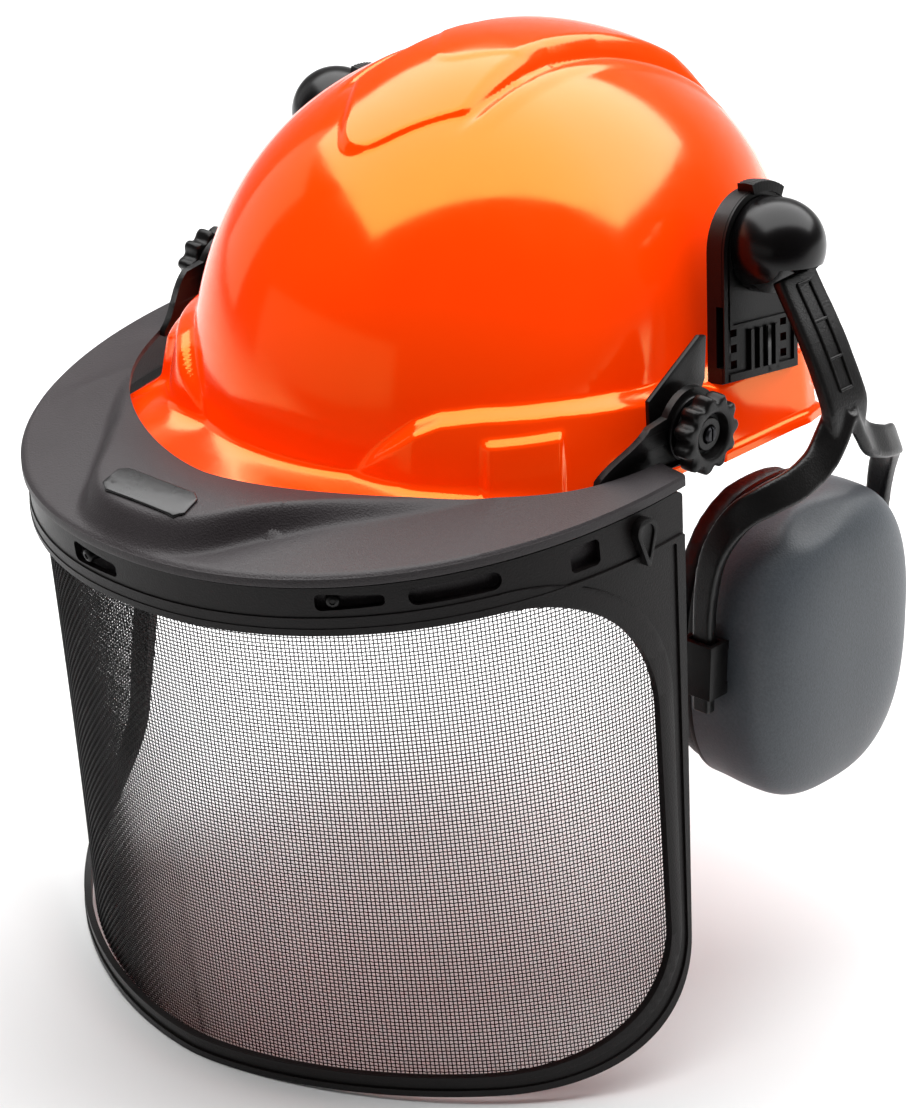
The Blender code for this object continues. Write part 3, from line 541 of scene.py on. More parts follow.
def shell_material():
    """Glossy orange with a faint painted glow (emission) that keeps its shaded parts bright; faint mottling
    and a light orange peel.
    """
    # The emission is painted light: a glow that keeps the orange bright where little lamp light falls.
    material, tree, shader = new_material("orange_gloss", IOR=1.55, Specular_IOR_Level=0.95,
                                          Specular_Tint=(1.0, 0.86, 0.16, 1.0),
                                          Emission_Color=(1.0, 0.035, 0.0, 1.0), Emission_Strength=0.34)
    here = add(tree, "TexCoord").outputs["Object"]
    cloud = noise(tree, here, 9.0, 3.0)
    color = ramp(tree, cloud, (0.30, linear("#FA3800")), (0.70, linear("#FD4202")))
    tree.links.new(color, shader.inputs["Base Color"])
    gloss = add(tree, "MapRange", {"Value": noise(tree, here, 60.0, 5.0), "From Min": 0.35,
                                   "From Max": 0.75, "To Min": 0.10, "To Max": 0.17}).outputs["Result"]
    tree.links.new(gloss, shader.inputs["Roughness"])
    peel = noise(tree, here, 130.0, 2.0)
    relief = add(tree, "Bump", {"Height": peel, "Strength": 0.035, "Distance": 0.0005})
    tree.links.new(relief.outputs["Normal"], shader.inputs["Normal"])
    return material


def woven(name, dark, light, pitch=1.4, coords="UV"):
    """Webbing: two crossed sets of yarns from sine waves of the surface coordinates (mm)."""
    material, tree, shader = new_material(name, Roughness=0.85, Sheen_Weight=0.25)
    here = add(tree, "TexCoord").outputs[coords]
    split = add(tree, "SeparateXYZ", {0: here})
    waves = []
    for axis, scale in (("X", 2 * math.pi / pitch), ("Y", 2 * math.pi / (pitch * 0.8))):
        scaled = add(tree, "Math", {0: split.outputs[axis], 1: scale}, operation="MULTIPLY").outputs[0]
        waves.append(add(tree, "Math", {0: scaled}, operation="SINE").outputs[0])
    cross = add(tree, "Math", {0: waves[0], 1: waves[1]}, operation="MULTIPLY").outputs[0]
    height = add(tree, "MapRange", {"Value": cross, "From Min": -1.0, "From Max": 1.0}).outputs["Result"]
    # The colour follows the weave's height: painted shade where the yarns dip and a painted highlight where
    # they rise.
    color = ramp(tree, height, (0.1, linear(dark)), (0.9, linear(light)))
    tree.links.new(color, shader.inputs["Base Color"])
    relief = add(tree, "Bump", {"Height": height, "Strength": 0.6, "Distance": 0.0004})
    tree.links.new(relief.outputs["Normal"], shader.inputs["Normal"])
    return material


def soft_fabric(name, dark, light, scale=900.0):
    """Knitted or brushed cover: small cells with a fuzzy sheen; the colour is darkened in the pits of the
    cells, a painted shade, and varied by a slow noise.
    """
    material, tree, shader = new_material(name, Roughness=0.95, Sheen_Weight=0.4, Sheen_Roughness=0.5)
    here = add(tree, "TexCoord").outputs["Object"]
    cell = add(tree, "TexVoronoi", {"Vector": here, "Scale": scale}).outputs["Distance"]
    cloud = noise(tree, here, 40.0, 4.0)
    both = add(tree, "Math", {0: cell, 1: cloud}, operation="MULTIPLY").outputs[0]
    # Painted shade: the pits of the cells, low in the bump, are coloured darker; the slow noise varies the
    # tone at random.
    color = ramp(tree, both, (0.1, linear(dark)), (0.5, linear(light)))
    tree.links.new(color, shader.inputs["Base Color"])
    relief = add(tree, "Bump", {"Height": cell, "Strength": 0.5, "Distance": 0.0006})
    tree.links.new(relief.outputs["Normal"], shader.inputs["Normal"])
    return material


def metal(name, color, rough, **constants):
    """Oxide or bright steel with fine turning marks."""
    material, tree, shader = new_material(name, Metallic=1.0, **constants)
    here = add(tree, "TexCoord").outputs["Object"]
    marks = noise(tree, here, 900.0, 2.0)
    shade_color = ramp(tree, marks, (0.3, linear(color[0])), (0.7, linear(color[1])))
    tree.links.new(shade_color, shader.inputs["Base Color"])
    gloss = add(tree, "MapRange", {"Value": marks, "To Min": rough[0],
                                   "To Max": rough[1]}).outputs["Result"]
    tree.links.new(gloss, shader.inputs["Roughness"])
    return material


# %% [markdown]
# ## The finishes
# The hat is dyed polyethylene, and the fittings are moulded nylon. The blacks differ in gloss
# and grain more than in colour, so each has its own roughness and grain, which lets the eye
# tell a grained arm from a polished dome. One function makes them all.

# %% Materials
# Dyed polyethylene: the saturated orange that carries the whole object.
ORANGE = shell_material()
# Brow guard: brownish charcoal, matt, with 0.6 mm grain, so that it reads as a separate moulding.
GUARD = plastic("guard_charcoal", "#282325", "#322D2F", (0.44, 0.54), 1700.0, 0.30, 0.0004, scuffs=0.04,
                Specular_IOR_Level=0.35)
# Nylon fittings: a neutral satin black for knobs, adapters and yokes.
BLACK = plastic("satin_black", "#070606", "#0D0B0B", (0.30, 0.40), 1800.0, 0.15, 0.0003, scuffs=0.01,
                Specular_IOR_Level=0.25)
# Visor frame: a little paler and rougher, as a thin sheet that has been handled.
FRAME = plastic("frame_black", "#0C0909", "#151111", (0.36, 0.46), 1600.0, 0.25, 0.0003, scuffs=0.02,
                Specular_IOR_Level=0.22)
# Muff arms: 0.7 mm grain that breaks up the highlight along the stem.
GRAINED = plastic("grained_black", "#070606", "#0F0D0D", (0.32, 0.42), 1500.0, 0.30, 0.0003,
                  Specular_IOR_Level=0.4)
# Swivel domes: polished, with only a slow 4 mm waviness, for one sharp round highlight.
GLOSSY = plastic("polished_black", "#050404", "#0A0809", (0.22, 0.28), 260.0, 0.02, 0.0003,
                 Specular_IOR_Level=0.3)
# Badge plate: smoother than the guard round it, so that the blank plate still shows.
BADGE = plastic("badge_black", "#0B0A0B", "#141213", (0.22, 0.30), 500.0, 0.05, 0.0003)
# Cup shells: slate plastic with a fine grain and a few pale scuffs.
SLATE = plastic("cup_slate", "#42474C", "#4F545A", (0.42, 0.52), 1500.0, 0.22, 0.0004, scuffs=0.12)
# Harness bands: grey polyethylene with a plain moulded finish.
HARNESS = plastic("harness_grey", "#26282A", "#303235", (0.42, 0.55), 1200.0, 0.20, 0.0003)
# Seal cushions: vinyl skin with 1.7 mm cells, deep enough to look soft.
VINYL = plastic("cushion_vinyl", "#121213", "#1A1A1C", (0.40, 0.52), 600.0, 0.35, 0.0005)
# Pivot bolts: oxidised steel, the only metal that shows.
STEEL = metal("dark_steel", ("#2A2A2C", "#3C3C3F"), (0.32, 0.42))
# Visor wires: coated, dull, so that the mesh darkens what is behind it without sparkling.
WIRE = plastic("coated_wire", "#060607", "#0D0D0E", (0.45, 0.55), 2500.0, 0.1, 0.0002,
               Specular_IOR_Level=0.12)
# Crown straps: woven webbing with yarns 1.4 mm apart along the strap.
WEBBING = woven("black_webbing", "#0D0D0F", "#2A2A2E")
# Pads and liners: brushed cover with 1.1 mm cells, and foam with 2 mm cells.
PADDING = soft_fabric("black_padding", "#0C0C0E", "#26262A")
FOAM = soft_fabric("grey_foam", "#1B1B1D", "#4A4A4E", 500.0)


# %% [markdown]
# ## Shell
# A hard hat's shell is one thin moulding. It could be sculpted or subdivided from a cage; a
# formula is used instead, because then the ledge, lug and boss can be placed in real mm.
# The dome's radius in plan is a superellipse scaled by (1 - (z/h)^2.5)^(1/2). Bands,
# ledge, lug, accessory boss, peak and crest are added to it, and the wall is turned in.

# %% Shell
LEDGE_AT = np.array([-180, -74, -69.7, -65, -59, -54.4, -46.5, -30, -14.7, -6.4, 15, 60, 180.0])
LEDGE_Z = np.array([6, 9, 16, 25, 34, 37.5, 38.5, 37, 34.5, 32.5, 31, 30, 30.0])


def rim_height(degrees):
    """Height of the shell's rim, 2.5 mm up at the front and 6 mm down at the back."""
    return 2.5 * smooth(-degrees, 28.0, 66.0) - 6.0 * smooth(degrees, 25.0, 70.0)


def shell_surface(angle, height):
    """Outer surface in mm for an angle round the hat and a height above the side rim (arrays)."""
    across, along = np.cos(angle), np.sin(angle)
    reach = np.where(along < 0, FRONT_REACH, REAR_REACH)
    plan = (np.abs(across / HALF_WIDTH) ** 2.1 + np.abs(along / reach) ** 2.1) ** (-1 / 2.1)
    degrees = np.degrees(np.arctan2(along, np.abs(across)))
    front = smooth(-degrees, 28.0, 66.0)
    rear = smooth(degrees, 25.0, 70.0)
    rim = rim_height(degrees)
    share = np.clip(height / DOME_HEIGHT, 0.0, 1.0)
    radius = plan * (1.0 - share ** 2.5) ** (1 / 2.0)
    climb = smooth(degrees, -73.0, -58.0)
    ledge = np.interp(degrees, LEDGE_AT, LEDGE_Z)
    band = climb * (1.0 - smooth(height, ledge - 3.8, ledge + 1.2))
    radius = radius + band * (6.0 + 4.0 * (1.0 - height / 36.0))
    lug = bump(degrees, -45.3, -31.3, 1.3) * (1.0 - smooth(height, 26.5, 30.0))
    radius = radius + 3.3 * lug
    # The flat accessory boss under the adapter: a plane at right angles to OUT.
    plane = (ADAPTER_BASE @ OUT - 0.6 - OUT[2] * height) / (OUT[0] * np.maximum(np.abs(across), 0.2))
    y = radius * along
    spread = 0.28 * np.clip(26.0 - height, 0.0, 30.0)
    boss = bump(y, 16.5 - 0.3 * spread, 63.5 + spread, 2.2) * (1.0 - smooth(height, 27.0, 29.5))
    boss = boss * smooth(height, -3.2, -1.8)
    radius = radius + boss * np.clip(plane - radius, -3.0, 14.0)
    low = 1.0 - smooth(height, rim, rim + 13.0)
    radius = radius + (34.0 * front ** 1.2 + 7.0 * rear) * low ** 2
    # A narrow gutter runs round the rim at the sides and back.
    radius = radius + (1.4 - 2.6 * rear) * (1.0 - front) * (1.0 - smooth(height - rim, 3.4, 4.6))
    return np.stack([radius * across, radius * along, height + 0 * radius], -1)


def crest_lift(points):
    """Raised crest with a vee at its front, a second vee on top and a hollow along each side."""
    x, y, z = points[..., 0], points[..., 1], points[..., 2]
    side = np.abs(x)
    groove = np.interp(y, [-45, -41, -30, -16, 4, 21, 50, 90, 120], [27, 27, 27, 25.5, 23, 21, 20, 22, 26])
    opening = smooth(y, -46.0, -8.0) * (1.0 - smooth(y, 96.0, 120.0))
    wall = 1.0 - smooth(side, groove - 4.0 * opening - 2.0, groove + 1.0)
    rise = 1.6 + 3.5 * smooth(y, -45.0, 15.0)
    rise = rise * (1.0 - 0.99 * smooth(y, 92.0, 120.0))
    tip = np.where(side < 12.0, -68.0 + 0.065 * side ** 2, -58.6 + 1.56 * (side - 12.0))
    vee = smooth(y, tip, tip + 4.2)
    hollow = -2.4 * opening * bump(side, groove + 1.2, groove + 2.2, 2.4)
    brow = 0.9 * opening * bump(side, groove + 6.0, groove + 7.5, 4.5)
    inner_tip = np.where(side < 9.0, -19.0 + 0.09 * side ** 2, -11.7 + 1.62 * (side - 9.0))
    inner = 0.6 * smooth(y, inner_tip, inner_tip + 4.0) * (1.0 - smooth(side, 17.0, 20.5))
    inner = inner * (1.0 - smooth(y, 70.0, 112.0))
    raised = vee * wall * rise + hollow + brow + inner * wall
    raised = raised * smooth(z, 40.0, 70.0)
    scale = 1.0 + raised / np.maximum(np.linalg.norm(points, axis=-1), 1.0)
    return points * scale[..., None]


def build_shell():
    columns = 440
    turn = ring(columns)[:, None]
    degrees = np.degrees(np.arctan2(np.sin(turn), np.abs(np.cos(turn))))
    rim = rim_height(degrees)
    low = np.linspace(0.0, 1.0, 56)[None, :]
    high = np.linspace(0.0, 1.0, 118)[None, 1:]
    start = rim + 0 * low
    lower = start + (44.0 - start) * low
    upper = 44.0 + (DOME_HEIGHT - 44.0) * np.sin(0.5 * math.pi * high ** 1.02) + 0 * turn
    heights = np.concatenate([lower, upper], 1)
    outer = crest_lift(shell_surface(turn, heights))
    # Inner wall: the same surface moved in along its normals, read at every fourth row.
    du = np.roll(outer, -1, 0) - np.roll(outer, 1, 0)
    dv = np.gradient(outer, axis=1)
    normal = np.cross(du, dv)
    normal /= np.maximum(np.linalg.norm(normal, axis=-1), 1e-9)[..., None]
    normal[:, -3:] = EZ
    inner = (outer - normal * (WALL - 0.1))[:, 1::4]
    inner[:, -1] = np.array([0.0, 0.0, outer[0, -1, 2] - WALL])
    edge = outer[:, :1] * 0.5 + inner[:, :1] * 0.5
    edge[..., 2] = outer[:, :1, 2] - 0.7
    table = np.concatenate([inner[:, ::-1], edge, outer], 1)
    shell = surface("shell_body", table, wrap_u=True)
    place(shell, "helmet", ORANGE, ["shell"], 60)


build_shell()


# %% [markdown]
# ## Brow guard
# The guard is the stiff brow piece that the visor hangs from. It could be cut from a solid; it
# is lofted, because its two rims are known curves and the form between them is smooth. The
# loft runs between an inner and an outer rim, both superellipses on a plane that dips
# 4.4 degrees to the front. A crease runs from the front corner to the inner rim.

# %% Brow guard
def guard_rims(angle):
    """Inner and outer rim of the guard in its own frame; angle 0 is the left end."""
    ix, iy = superellipse(angle, 117.0, 116.5, 1.68)
    ox, oy = superellipse(angle, 128.7, 163.0, 2.15)
    return np.stack([ix, -iy], -1), np.stack([ox, -oy], -1)


def guard_point(x, y, z):
    return GUARD_ORIGIN + np.asarray(x)[..., None] * EX + np.asarray(y)[..., None] * GUARD_BACK \
        + np.asarray(z)[..., None] * GUARD_UP


def visor_sheet(around, drop, inset):
    """A point of the bent visor sheet; around runs 0 to 1 from left to right, drop is downwards."""
    share = drop / 200.0
    angle = math.pi * around
    top = superellipse(angle, 127.6 - inset, 162.0 - inset, 2.15)
    low = superellipse(angle, 145.5 - inset, 122.0 - inset, 1.74)
    x = top[0] + (low[0] - top[0]) * share
    y = -(top[1] + (low[1] - top[1]) * share) - 24.0 * share
    return guard_point(x, y, -drop)


def build_guard():
    angle = np.linspace(0.0, math.pi, 361)
    inner, outer = guard_rims(angle)
    width = np.linalg.norm(outer - inner, axis=1)
    front = smooth(np.sin(angle), 0.3, 1.0)
    crease = np.interp(np.sin(angle), [0.0, 0.5, 0.766, 0.866, 0.94, 0.985, 1.0],
                       [-0.30, -0.05, 0.20, 0.33, 0.58, 0.93, 0.98])
    window = np.hanning(25) / np.hanning(25).sum()
    crease = np.convolve(np.pad(crease, 12, mode="edge"), window, "valid")
    edge = 1.8 + 8.5 * front

    def rise(share):
        flange = (1.0 - share) * np.minimum(0.12 * width, edge)
        bonnet = edge + 3.2 * front * math.sin(math.pi * min(share / 0.9, 1.0))
        return flange + (bonnet - flange) * (1.0 - smooth(share, crease - 0.20, crease))

    shares = np.concatenate([np.linspace(0.0, 0.96, 33), [0.985, 0.996, 1.0]])
    sections = []
    for share in shares:
        flat = inner + (outer - inner) * share
        fall = 1.1 * float(smooth(share, 0.96, 1.0)) ** 2
        sections.append(guard_point(flat[:, 0], flat[:, 1], rise(share) - fall))
    for drop, share in ((2.4, 1.0), (3.9, 1.0), (4.5, 0.994), (4.6, 0.985)):
        flat = inner + (outer - inner) * share
        sections.append(guard_point(flat[:, 0], flat[:, 1], -drop + 0 * angle))
    hem = ((4.6, 4.8), (12.0, 4.8), (20.6, 4.8), (21.0, 5.2), (21.0, 6.8), (20.6, 7.2), (3.4, 7.2))
    for drop, inset in hem:
        sections.append(visor_sheet(angle / math.pi, drop + 0 * angle, inset))
    for share in (0.75, 0.6, 0.4, 0.2, 0.0):
        flat = inner + (outer - inner) * share
        sections.append(guard_point(flat[:, 0], flat[:, 1], rise(share) - 2.4))
    sections.append(guard_point(inner[:, 0], inner[:, 1], rise(0.0) - 0.6))
    bonnet = surface("guard_bonnet", np.stack(sections, 1), wrap_v=True, caps=True)
    place(bonnet, "visor", GUARD, ["brow_guard"], 32)
    # Ears that carry the pivots.
    arc = np.radians(np.linspace(150.0, -70.0, 41))
    outline = [(-43.0, -13.0), (-42.5, -10.5), (-23.0, 6.5)]
    outline += [(15.5 * math.cos(a), 15.5 * math.sin(a)) for a in arc]
    outline += [(-10.0, -13.0), (-22.0, -13.0)]
    dense = []
    for a, b in zip(outline, outline[1:] + outline[:1]):
        steps = max(1, int(math.dist(a, b) / 2.0))
        dense += [(a[0] + (b[0] - a[0]) * k / steps, a[1] + (b[1] - a[1]) * k / steps)
                  for k in range(steps)]
    hole = circle(3.3, 32)
    pivot = (PIVOT, EY, EZ, EX)
    ear = slab("guard_ear", dense, -1.4, 1.4, pivot, [hole])
    bake(soften(ear, 0.5, 50, 3))
    points = points_of(ear)
    points[:, 0] -= 7.0 * smooth(-points[:, 1], 36.0, 55.5)
    set_points(ear, points)
    place_pair(ear, "guard_ear", "visor", BLACK, (), 40)
    # The round boss behind the knob.
    profile = [(3.6, 1.0), (11.6, 1.0), (12.4, 1.4), (12.4, 2.1), (12.0, 2.5), (3.6, 2.5), (3.6, 1.0)]
    boss = lathe("guard_ear_boss", profile, 64, pivot)
    place_pair(boss, "guard_ear_boss", "visor", BLACK, (), 40)
    # Blank badge plate, laid on the bonnet: each point takes the height of the nearest surface point.
    outline = [(-20, -5), (-16, -8.0), (18, -8.0), (21, -5), (19, 4), (15, 7.0), (-18, 7.0), (-21, 4)]
    plate = slab("badge_blank", outline, 0.0, 0.9, (np.zeros(3), EX, EY, EZ))
    bake(soften(plate, 1.4, 50, 4))
    split_across(plate, 0, np.arange(-20, 21, 2.0))
    split_across(plate, 1, np.arange(-8, 8, 2.0))
    grid = np.linspace(0.0, 1.0, 241)
    spots = inner[None] + (outer - inner)[None] * grid[:, None, None]
    tall = np.stack([rise(share) for share in grid])
    p = points_of(plate)
    near = [np.argmin(np.sum((spots - np.array([x, y - 143.0])) ** 2, -1)) for x, y, _ in p]
    height = tall.ravel()[near] + p[:, 2] + 0.25
    set_points(plate, guard_point(p[:, 0], p[:, 1] - 143.0, height))
    place(outward(plate), "visor", BADGE, ["badge_plate"], 40)


build_guard()


# %% [markdown]
# ## Visor frame and woven mesh
# The real frame is stamped flat and bent round the face, so it is made that way here: a loft
# would not keep its slots true. It is cut flat (x along the sheet, y down), bevelled, split
# into narrow strips along
# the rulings of the sheet and then bent. The mesh is really woven: every wire rises and
# falls by one wire thickness between its neighbours. A picture of a mesh on a flat sheet
# would be lighter, but its holes would not let the floor or the face show through truly.

# %% Visor
def arc_share(count):
    """Parameters of points spread evenly by length round the sheet, at half height."""
    fine = np.linspace(0.0, 1.0, 1441)
    points = visor_sheet(fine, 100.0 + 0 * fine, 1.5)
    length = run_length(points)
    return np.interp(np.linspace(0, length[-1], count), length, fine), length[-1]


FINE_SHARE, SHEET_LENGTH = arc_share(2001)
SHEET_HALF = SHEET_LENGTH / 2
print(f"visor sheet: {SHEET_LENGTH:.1f} mm round")


def sheet_point(along, drop, inset):
    """A point at a distance along the sheet from its middle (left positive) and a drop."""
    around = np.interp(0.5 - np.asarray(along) / SHEET_LENGTH, np.linspace(0, 1, 2001), FINE_SHARE)
    return visor_sheet(around, np.asarray(drop, float), inset)


def round_frame(half, top, bottom, top_radius, side_radius, low_radius, count):
    """Closed loop with rounded top corners and deep elliptical lower corners (along, drop)."""
    quarter = np.linspace(0.0, math.pi / 2, count)
    upper = np.stack([half - top_radius + top_radius * np.sin(quarter),
                      top + top_radius - top_radius * np.cos(quarter)], -1)
    lower = np.stack([half - side_radius + side_radius * np.cos(quarter),
                      bottom - low_radius + low_radius * np.sin(quarter)], -1)
    points = np.concatenate([upper, lower])
    return np.concatenate([points, points[::-1] * np.array([-1.0, 1.0])])


def flat(loop):
    """(along, drop) to plate x, y."""
    return [(float(a), float(-d)) for a, d in loop]


def round_slot(a, b, top, bottom, radius, count=8):
    """Rounded rectangular hole from along a to b."""
    loop = []
    for cx, cy, start in ((b - radius, top + radius, -90), (b - radius, bottom - radius, 0),
                          (a + radius, bottom - radius, 90), (a + radius, top + radius, 180)):
        for turn in np.radians(start + np.linspace(0, 90, count)):
            loop.append((cx + radius * math.cos(turn), cy + radius * math.sin(turn)))
    return loop


def key_slot(a, b, top, bottom, neck, radius=2.2):
    """A slot with a tall left part and a lower, narrower right part."""
    wide = round_slot(a, neck, top, bottom, radius)
    half = len(wide) // 2
    thin = round_slot(neck - 2.0, b, top + 1.6, bottom - 0.8, min(radius, 1.6))
    return wide[half:] + [p for p in thin[:half]]


def bend(obj, inset):
    """Splits a flat plate into strips 4 mm wide and bends it onto the sheet."""
    split_across(obj, 0, np.arange(-SHEET_HALF + 4.0, SHEET_HALF, 4.0))
    p = points_of(obj)
    set_points(obj, sheet_point(p[:, 0], -p[:, 1], inset - p[:, 2]))
    return outward(obj)


def build_visor():
    half = SHEET_HALF
    outer = round_frame(half, 5.6, VISOR_DROP, 3.0, SIDE_CORNER, 48.0, 40)
    window = round_frame(half - 14.0, 25.0, VISOR_DROP - 8.5, 60.0, SIDE_CORNER - 10.0, 46.0, 40)
    holes = [window]
    for side in (1, -1):
        pieces = [round_slot(109.5, 143.5, 8.4, 15.6, 3.5), key_slot(75.5, 101.0, 8.0, 14.8, 88.0),
                  round_slot(169.5, 181.0, 8.5, 18.5, 2.0),
                  [(207.0 + a, 150.0 + d) for a, d in circle(1.2, 16)]]
        holes += [[(side * a, d) for a, d in loop] for loop in pieces]
    holes.append(key_slot(-24.5, -2.5, 8.2, 16.2, -11.0))
    plate = slab("visor_plate", flat(outer), -1.2, 1.2, WORLD, [flat(h) for h in holes])
    bake(soften(plate, 0.45, 60, 2))
    bend(plate, 1.6)
    place(plate, "visor", FRAME, ["visor_frame"], 32)
    # Raised border round the outer edge and round the window.
    rim_out = round_frame(half, 22.0, VISOR_DROP, 1.0, SIDE_CORNER, 48.0, 40)
    rim_in = round_frame(half - 3.4, 24.0, VISOR_DROP - 2.8, 1.0, SIDE_CORNER - 3.0, 47.0, 40)
    rib = slab("visor_border", flat(rim_out), 1.0, 2.1, WORLD, [flat(rim_in)])
    bake(soften(rib, 0.4, 60, 2))
    bend(rib, 1.6)
    place(rib, "visor", FRAME, (), 32)
    ring_out = round_frame(half - 7.0, 17.6, VISOR_DROP - 5.6, 64.0, SIDE_CORNER - 4.0, 49.0, 40)
    lip = slab("visor_window_lip", flat(ring_out), 1.0, 1.75, WORLD, [flat(window)])
    bake(soften(lip, 0.3, 60, 2))
    bend(lip, 1.6)
    place(lip, "visor", FRAME, (), 32)
    # Round pegs of the guard that show in the key slots, and small ring marks.
    for index, (along, drop) in enumerate(((82.0, 11.2), (-82.0, 11.2), (-17.0, 12.0))):
        here = sheet_point(along, drop, 1.6)
        ahead = sheet_point(along + 1.0, drop, 1.6) - here
        ahead /= np.linalg.norm(ahead)
        down = sheet_point(along, drop + 1.0, 1.6) - here
        down /= np.linalg.norm(down)
        out = np.cross(down, ahead)
        out *= np.sign(out @ (here - np.array([0.0, -40.0, here[2]])))
        profile = [(0, -4.0), (2.5, -4.0), (2.5, 0.7), (2.1, 1.3), (1.1, 1.5), (0.9, 1.0), (0, 1.0)]
        peg = lathe(f"guard_peg_{index}", profile, 32, (here, ahead, down, out))
        place(peg, "visor", BLACK, (), 50)


def build_mesh():
    """The woven wire sheet. Height of a wire over the sheet: 0.25 cos(pi (i + j)) mm."""
    pitch, radius, swing = 1.6, 0.25, 0.25
    edge = round_frame(SHEET_HALF - 8.0, 21.5, VISOR_DROP - 4.6, 54.0, SIDE_CORNER - 6.0, 48.0, 60)
    right = edge[:120]
    drops = np.arange(21.5 + 0.4, VISOR_DROP - 5.0, pitch)
    alongs = np.arange(-SHEET_HALF + 9.0, SHEET_HALF - 8.5, pitch)
    reach = np.interp(drops, right[:, 1], right[:, 0])
    turn = ring(3) + 0.5
    for name, first in (("warp", True), ("weft", False)):
        chunks, faces, base = [], [], 0
        lines = alongs if first else drops
        for k, fixed in enumerate(lines):
            if first:
                j = np.nonzero(np.abs(fixed) <= reach)[0]
                if len(j) < 3:
                    continue
                u, v = np.full(len(j), fixed), drops[j]
            else:
                j = np.nonzero(np.abs(alongs) <= reach[k])[0]
                u, v = alongs[j], np.full(len(j), fixed)
            wave = swing * np.where((j + k + (0 if first else 1)) % 2 == 0, 1.0, -1.0)
            loops = []
            for t in turn:
                du, dv = (radius * math.cos(t), 0.0) if first else (0.0, radius * math.cos(t))
                loops.append(sheet_point(u + du, v + dv, 4.6 - wave - radius * math.sin(t)))
            table = np.stack(loops, 1)
            faces.append(quads(len(j), 3, False, True) + base)
            ends = np.array([[0, 1, 2], [len(j) * 3 - 1, len(j) * 3 - 2, len(j) * 3 - 3]]) + base
            faces.append(np.concatenate([ends, ends[:, -1:]], 1))
            chunks.append(table.reshape(-1, 3))
            base += len(j) * 3
        # A wire's end cap is a triangle, stored as a cell with one corner twice.
        cells = [tuple(dict.fromkeys(cell)) for cell in np.concatenate(faces).tolist()]
        obj = outward(raw_mesh("visor_" + name, np.concatenate(chunks), cells), merge=False)
        place(obj, "visor", WIRE, ["visor_mesh"] if first else (), 179)


build_visor()
build_mesh()


# %% [markdown]
# ## Latches, knobs, bolts and carriers
# The knobs clamp the guard's ears to two carrier blades, and the teardrop latches hold the
# frame in the guard. Turned forms are lathed, since they are turned or moulded round; the
# knob's grip is the same lathe with its radius waved eleven times round. The blades and
# latches are flat outlines given a thickness and softened, as their real edges are.

# %% Visor fittings
def build_latches():
    along, drop = SHEET_HALF - 17.5, 12.5
    here = sheet_point(along, drop, 1.6)
    beside = sheet_point(along - 4.0, drop, 1.6) - here
    beside /= np.linalg.norm(beside)
    below = sheet_point(along, drop + 4.0, 1.6) - here
    below /= np.linalg.norm(below)
    out = np.cross(beside, below)
    out *= np.sign(out[0])
    axes = (here + out * 1.5, beside, -below, out)
    arc = np.radians(np.linspace(-18.0, 198.0, 30))
    shape = [(4.9 * math.cos(a), 4.9 * math.sin(a)) for a in arc]
    shape += [(-0.9, -12.8), (0.0, -13.6), (0.9, -12.8)]
    latch = slab("visor_latch", shape, 0.0, 3.6, axes)
    pocket = [(0.68 * x, 0.72 * y - 0.5) for x, y in shape]
    groove = slab("latch_pocket", pocket, 2.7, 6.0, axes, where=TOOLS)
    boolean(latch, groove, "DIFFERENCE")
    bake(soften(latch, 0.5, 50, 3))
    place_pair(latch, "visor_latch", "latch", BLACK, ["visor_latch"], 40)


def lobed(name, base, lobes, depth, profile, axes, columns=264, sharp=0.8):
    """A turned form whose outer rows are waved: radius + depth w, w from a sharpened cosine."""
    origin, ex, ey, axis = axes
    turn = ring(columns)
    wave = np.cos(lobes * turn)
    wave = np.sign(wave) * np.abs(wave) ** sharp
    loops = []
    for radius, height, share in profile:
        r = radius + share * depth * wave
        across, along = (r * np.cos(turn))[:, None], (r * np.sin(turn))[:, None]
        loops.append(origin + across * ex + along * ey + height * axis)
    return surface(name, np.stack(loops, 1), wrap_u=True)


